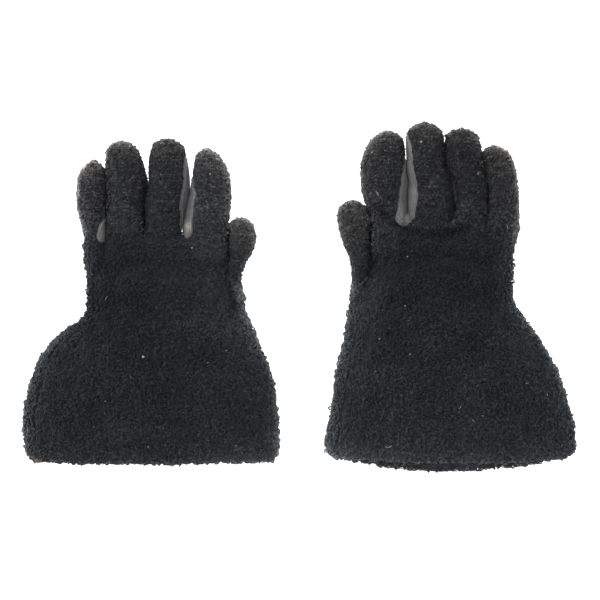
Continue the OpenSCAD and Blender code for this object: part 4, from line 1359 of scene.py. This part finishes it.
def build_glove(s):
    G = Glove(s)
    seed = 1000 * (s + 1)
    sk = build_fields(G)
    P, Q, N = sk.P, sk.Q, sk.N
    fc = P[Q].mean(1)
    outer = sk.val["outer"][Q].mean(1)
    stall_near = (sk.val["stall"][Q].mean(1) < sk.val["body"][Q].mean(1))
    who = sk.who[Q[:, 0]]
    facing = 12.0 + 1.5 * value_noise(P, 20, 71) - sk.val["hem"]
    rim = np.clip(np.maximum(sk.val["outer"] + 4.0, facing), -3, 9)
    P, tin = trim(P, Q, rim)
    inside = ~tin
    keep = np.ones(len(Q), bool)
    bridge = sk.val["bridge"][Q].mean(1)
    for i in range(4):
        keep &= ~(stall_near & (who == i + 1) & (fc[:, 1] >= CUT[s][i]) & ~inside & (bridge > 1.0))
    t = (fc[:, 0] - CROTCH[s][0]) * CROTCH_N[s][0] + (fc[:, 1] - CROTCH[s][1]) * CROTCH_N[s][1]
    keep &= ~(stall_near & (who == 5) & (t >= 0) & ~inside)
    # values on vertices
    vwho = np.where(P[:, 1] > 44, sk.who, 0)
    g_hand = pile_edge(G, P, vwho)
    g_cuff = cuff_edge(G, P)
    in_cuff = step(WRIST_CUT - 1, WRIST_CUT + 7, P[:, 1])
    # the gauntlet's seam lies in a shallow groove
    groove = 1 - (0.75 + 0.45 * value_noise(P, 9, 44)) * (1 - step(0.3, 2.3, np.abs(g_cuff))) * (1 - in_cuff)
    g_any = np.where(P[:, 1] < WRIST_CUT + 3, 9.0, g_hand)
    g_mix = np.minimum(g_any, rim * 1.2)
    lift = pile_lift(G, P, g_mix, 0) * groove
    Pp = press(P + N * lift[:, None])
    cuff = fc[:, 1] < WRIST_CUT
    gq_hand = g_hand[Q].mean(1)
    gq_cuff = g_cuff[Q].mean(1)
    rides = ("ride", "cuff")
    wrist = ("blend", "cuff", "hand", world(G, 0, WRIST_CUT + 0.5), world(G, 0, 15))
    m = keep & cuff & ~inside & (gq_cuff > 0)
    rim = np.where(P[:, 1] < WRIST_CUT, np.minimum(rim, np.abs(g_cuff) + 0.2 + 0.7 * value_noise(P, 7, 45)), rim)
    pile_piece(G, "cuff_back_skin", sk, Pp, m, rim, 0, rides, ["cuff_back"], 2.6, 1.06, seed + 10, pile_colour, split=2, hairs=1.2)
    m = keep & cuff & ~inside & (gq_cuff <= 0)
    pile_piece(G, "cuff_under_skin", sk, Pp, m, rim, 0, rides, ["cuff_palm"], 3.1, 1.25, seed + 20, pile_colour, split=2, hairs=0.8, glow=1.22)
    dark = np.tile(np.array([0.020, 0.020, 0.023]), (len(P), 1)) * (1 + 0.2 * value_noise(P, 18, 50))[:, None]
    plain_piece(G, "cuff_liner_skin", P, Q[keep & cuff & inside], N, dark, rides, ["cuff_liner"], LINER)
    plain_piece(G, "hand_liner_skin", P, Q[keep & ~cuff & inside], N, dark, wrist, ["hand_liner"], LINER)
    hand = keep & ~cuff & ~inside
    Pt, tk = trim(P, Q, g_hand)
    moved = np.abs(Pt - P).sum(1) > 0
    Pp[moved] = press(Pt[moved] + N[moved] * 0.1)
    pile_piece(G, "hand_back_skin", sk, Pp, hand & tk, g_mix, 0, wrist, ["hand_back"], 2.5, 1.0, seed + 30, pile_colour, hairs=1.0)
    lc = leather_colour(G, P)
    low = fc[:, 2] < 9
    out_w = lambda g: 1 - step(0.3, 2.0, g)
    sew = sewing(G, seam_lines(P, N, Q[hand], g_hand), lambda c, n: leather_out(c, n, 1.0), leather_colour)
    lp = leather_out(P, N, out_w(g_hand))
    plain_piece(G, "hand_palm_skin", lp, Q[hand & (gq_hand < 2.2) & low], N, lc, wrist, ["hand_palm"], LEATHER, sew)
    web = hand & (gq_hand < 2.2) & ~low
    if web.any():
        plain_piece(G, "hand_webs", lp, Q[web], N, lc, wrist, [], LEATHER)
    # fingers
    for i, f in enumerate(FINGERS):
        k = stall_skin(G, i)
        c = k.P[k.Q].mean(1)
        j = G.joint[f, "middle"]
        d = G.lean[i]
        q = (c[:, 0] - j[0]) * d[0] + (c[:, 1] - j[1]) * d[1]
        on = c[:, 1] >= CUT[s][i]
        base = on & (q < -8.5)
        tip = on & (q >= -8.5)
        g = pile_edge(G, k.P, np.full(len(k.P), i + 1))
        gq = g[k.Q].mean(1)
        lift = pile_lift(G, k.P, g, i + 1)
        pp = press(k.P + k.N * lift[:, None])
        kt, tk = trim(k.P, k.Q, g)
        moved = np.abs(kt - k.P).sum(1) > 0
        pp[moved] = press(kt[moved] + k.N[moved] * 0.1)
        sew = []
        for part in (base, tip):
            sew.append(sewing(G, seam_lines(k.P, k.N, k.Q[part], g), lambda c, n: leather_out(c, n, 1.0), leather_colour))
        kn = ("blend", "hand", f + "_base", world(G, 0, CUT[s][i]), world(G, 0, CUT[s][i] + FOLD[s][i]))
        mid = ("blend", f + "_base", f + "_tip", world(G, j[0] - 8 * d[0], j[1] - 8 * d[1]), world(G, j[0] + 8 * d[0], j[1] + 8 * d[1]))
        sd = seed + 100 + 10 * i
        pile_piece(G, f + "_base_back_skin", k, pp, base & tk, g, i + 1, kn, [f + "_base_back"], 2.15, 0.86, sd, pile_colour, hairs=0.8)
        pile_piece(G, f + "_tip_back_skin", k, pp, tip & tk, g, i + 1, mid, [f + "_tip_back"], 2.15, 0.86, sd + 5, pile_colour, hairs=0.8)
        lc = leather_colour(G, k.P)
        lp = leather_out(k.P, k.N, out_w(g))
        side = c[:, 2] > PALM_SEAM + 1.0
        plain_piece(G, f + "_base_fourchette_skin", lp, k.Q[base & (gq < 2.2) & side], k.N, lc, kn, [f + "_base_fourchette"], LEATHER)
        plain_piece(G, f + "_base_palm_skin", lp, k.Q[base & (gq < 2.2) & ~side], k.N, lc, kn, [f + "_base_palm"], LEATHER, sew[0])
        plain_piece(G, f + "_tip_palm_skin", lp, k.Q[tip & (gq < 2.2)], k.N, lc, mid, [f + "_tip_palm"], LEATHER, sew[1])
    # thumb
    k = stall_skin(G, 4)
    c = k.P[k.Q].mean(1)
    t = (c[:, 0] - CROTCH[s][0]) * CROTCH_N[s][0] + (c[:, 1] - CROTCH[s][1]) * CROTCH_N[s][1]
    j = G.joint["thumb"]
    base = (t >= 0) & (c[:, 1] < j[1] - 7.5)
    tip = (t >= 0) & (c[:, 1] >= j[1] - 7.5)
    g = k.P[:, 2] - PALM_SEAM
    gq = g[k.Q].mean(1)
    pp = press(k.P + k.N * pile_lift(G, k.P, g, 5)[:, None])
    kt, tk = trim(k.P, k.Q, g)
    moved = np.abs(kt - k.P).sum(1) > 0
    pp[moved] = press(kt[moved] + k.N[moved] * 0.1)
    sew = [sewing(G, seam_lines(k.P, k.N, k.Q[part], g), lambda c, n: leather_out(c, n, 1.0), leather_colour) for part in (base, tip)]
    cu, cv = CROTCH[s]
    nu, nv = CROTCH_N[s]
    sp = ("blend", "hand", "thumb_base", world(G, cu, cv, 12), world(G, cu + nu * CROTCH_FOLD[s], cv + nv * CROTCH_FOLD[s], 12))
    bd = ("blend", "thumb_base", "thumb_tip", world(G, j[0], j[1] - 7), world(G, j[0], j[1] + 7))
    pile_piece(G, "thumb_base_back_skin", k, pp, base & tk, g, 5, sp, ["thumb_base_back"], 2.2, 0.9, seed + 200, pile_colour, hairs=0.8)
    pile_piece(G, "thumb_tip_back_skin", k, pp, tip & tk, g, 5, bd, ["thumb_tip_back"], 2.2, 0.9, seed + 210, pile_colour, hairs=0.8)
    lc = leather_colour(G, k.P)
    plain_piece(G, "thumb_base_palm_skin", leather_out(k.P, k.N, out_w(g)), k.Q[base & (gq < 2.2)], k.N, lc, sp, ["thumb_base_palm"], LEATHER, sew[0])
    plain_piece(G, "thumb_tip_palm_skin", leather_out(k.P, k.N, out_w(g)), k.Q[tip & (gq < 2.2)], k.N, lc, bd, ["thumb_tip_palm"], LEATHER, sew[1])
    return G


GLOVES = [build_glove(0), build_glove(1)]


# ------------------------------------------------------------------ stage, light, camera
def quad(name, pts, colour, rough):
    me = bpy.data.meshes.new(name)
    me.from_pydata(pts, [], [tuple(range(len(pts)))])
    ob = bpy.data.objects.new(name, me)
    bpy.context.scene.collection.objects.link(ob)
    m, nt, b = new_material(name + "_paper")
    b.inputs["Base Color"].default_value = (*colour, 1)
    b.inputs["Roughness"].default_value = rough
    b.inputs["Specular IOR Level"].default_value = 0.1
    b.inputs["Emission Color"].default_value = (1, 1, 1, 1)
    b.inputs["Emission Strength"].default_value = 0.45
    me.materials.append(m)
    return ob


# the ground is set well below: bent hands reach under the plane they rest on, and no shadow of it shows
FLOOR = -0.16
floor = quad("floor", [(-3, -3, FLOOR), (3, -3, FLOOR), (3, 3, FLOOR), (-3, 3, FLOOR)], (0.93, 0.93, 0.93), 0.9)
floor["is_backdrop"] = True

sc = bpy.context.scene
w = bpy.data.worlds.new("studio")
sc.world = w
w.use_nodes = True
w.node_tree.nodes["Background"].inputs["Color"].default_value = (1, 1, 1, 1)
w.node_tree.nodes["Background"].inputs["Strength"].default_value = 0.80


def area(name, pos, target, size, power, colour=(1, 1, 1)):
    L = bpy.data.lights.new(name, "AREA")
    L.shape = "RECTANGLE"
    L.size = L.size_y = size
    L.energy = power
    L.color = colour
    o = bpy.data.objects.new(name, L)
    o.location = pos
    o.rotation_euler = (Vector(target) - Vector(pos)).to_track_quat("-Z", "Y").to_euler()
    sc.collection.objects.link(o)
    return o


area("key", (-1.1, 0.9, 0.75), (0, 0, 0), 0.9, 17)
area("left", (-1.5, -0.1, 0.28), (0, 0, 0), 0.8, 11)
area("right", (1.5, 0.0, 0.28), (0, 0, 0), 0.8, 14)
area("back", (0.0, 1.5, 0.35), (0, 0, 0), 0.9, 9)
area("front", (0.0, -1.5, 0.35), (0, 0, 0), 0.9, 5)

lo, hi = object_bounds()
cam = bpy.data.cameras.new("camera")
cam.sensor_width = 36
D = 2.6
cam.lens = 36 * (D - 0.018) / 0.510
co = bpy.data.objects.new("camera", cam)
co.location = (-0.0001, -0.0030, D)
co.rotation_euler = (0, 0, 0)
cam.clip_end = 20
sc.collection.objects.link(co)
sc.camera = co
sc.view_settings.view_transform = "Standard"
sc.view_settings.look = "None"
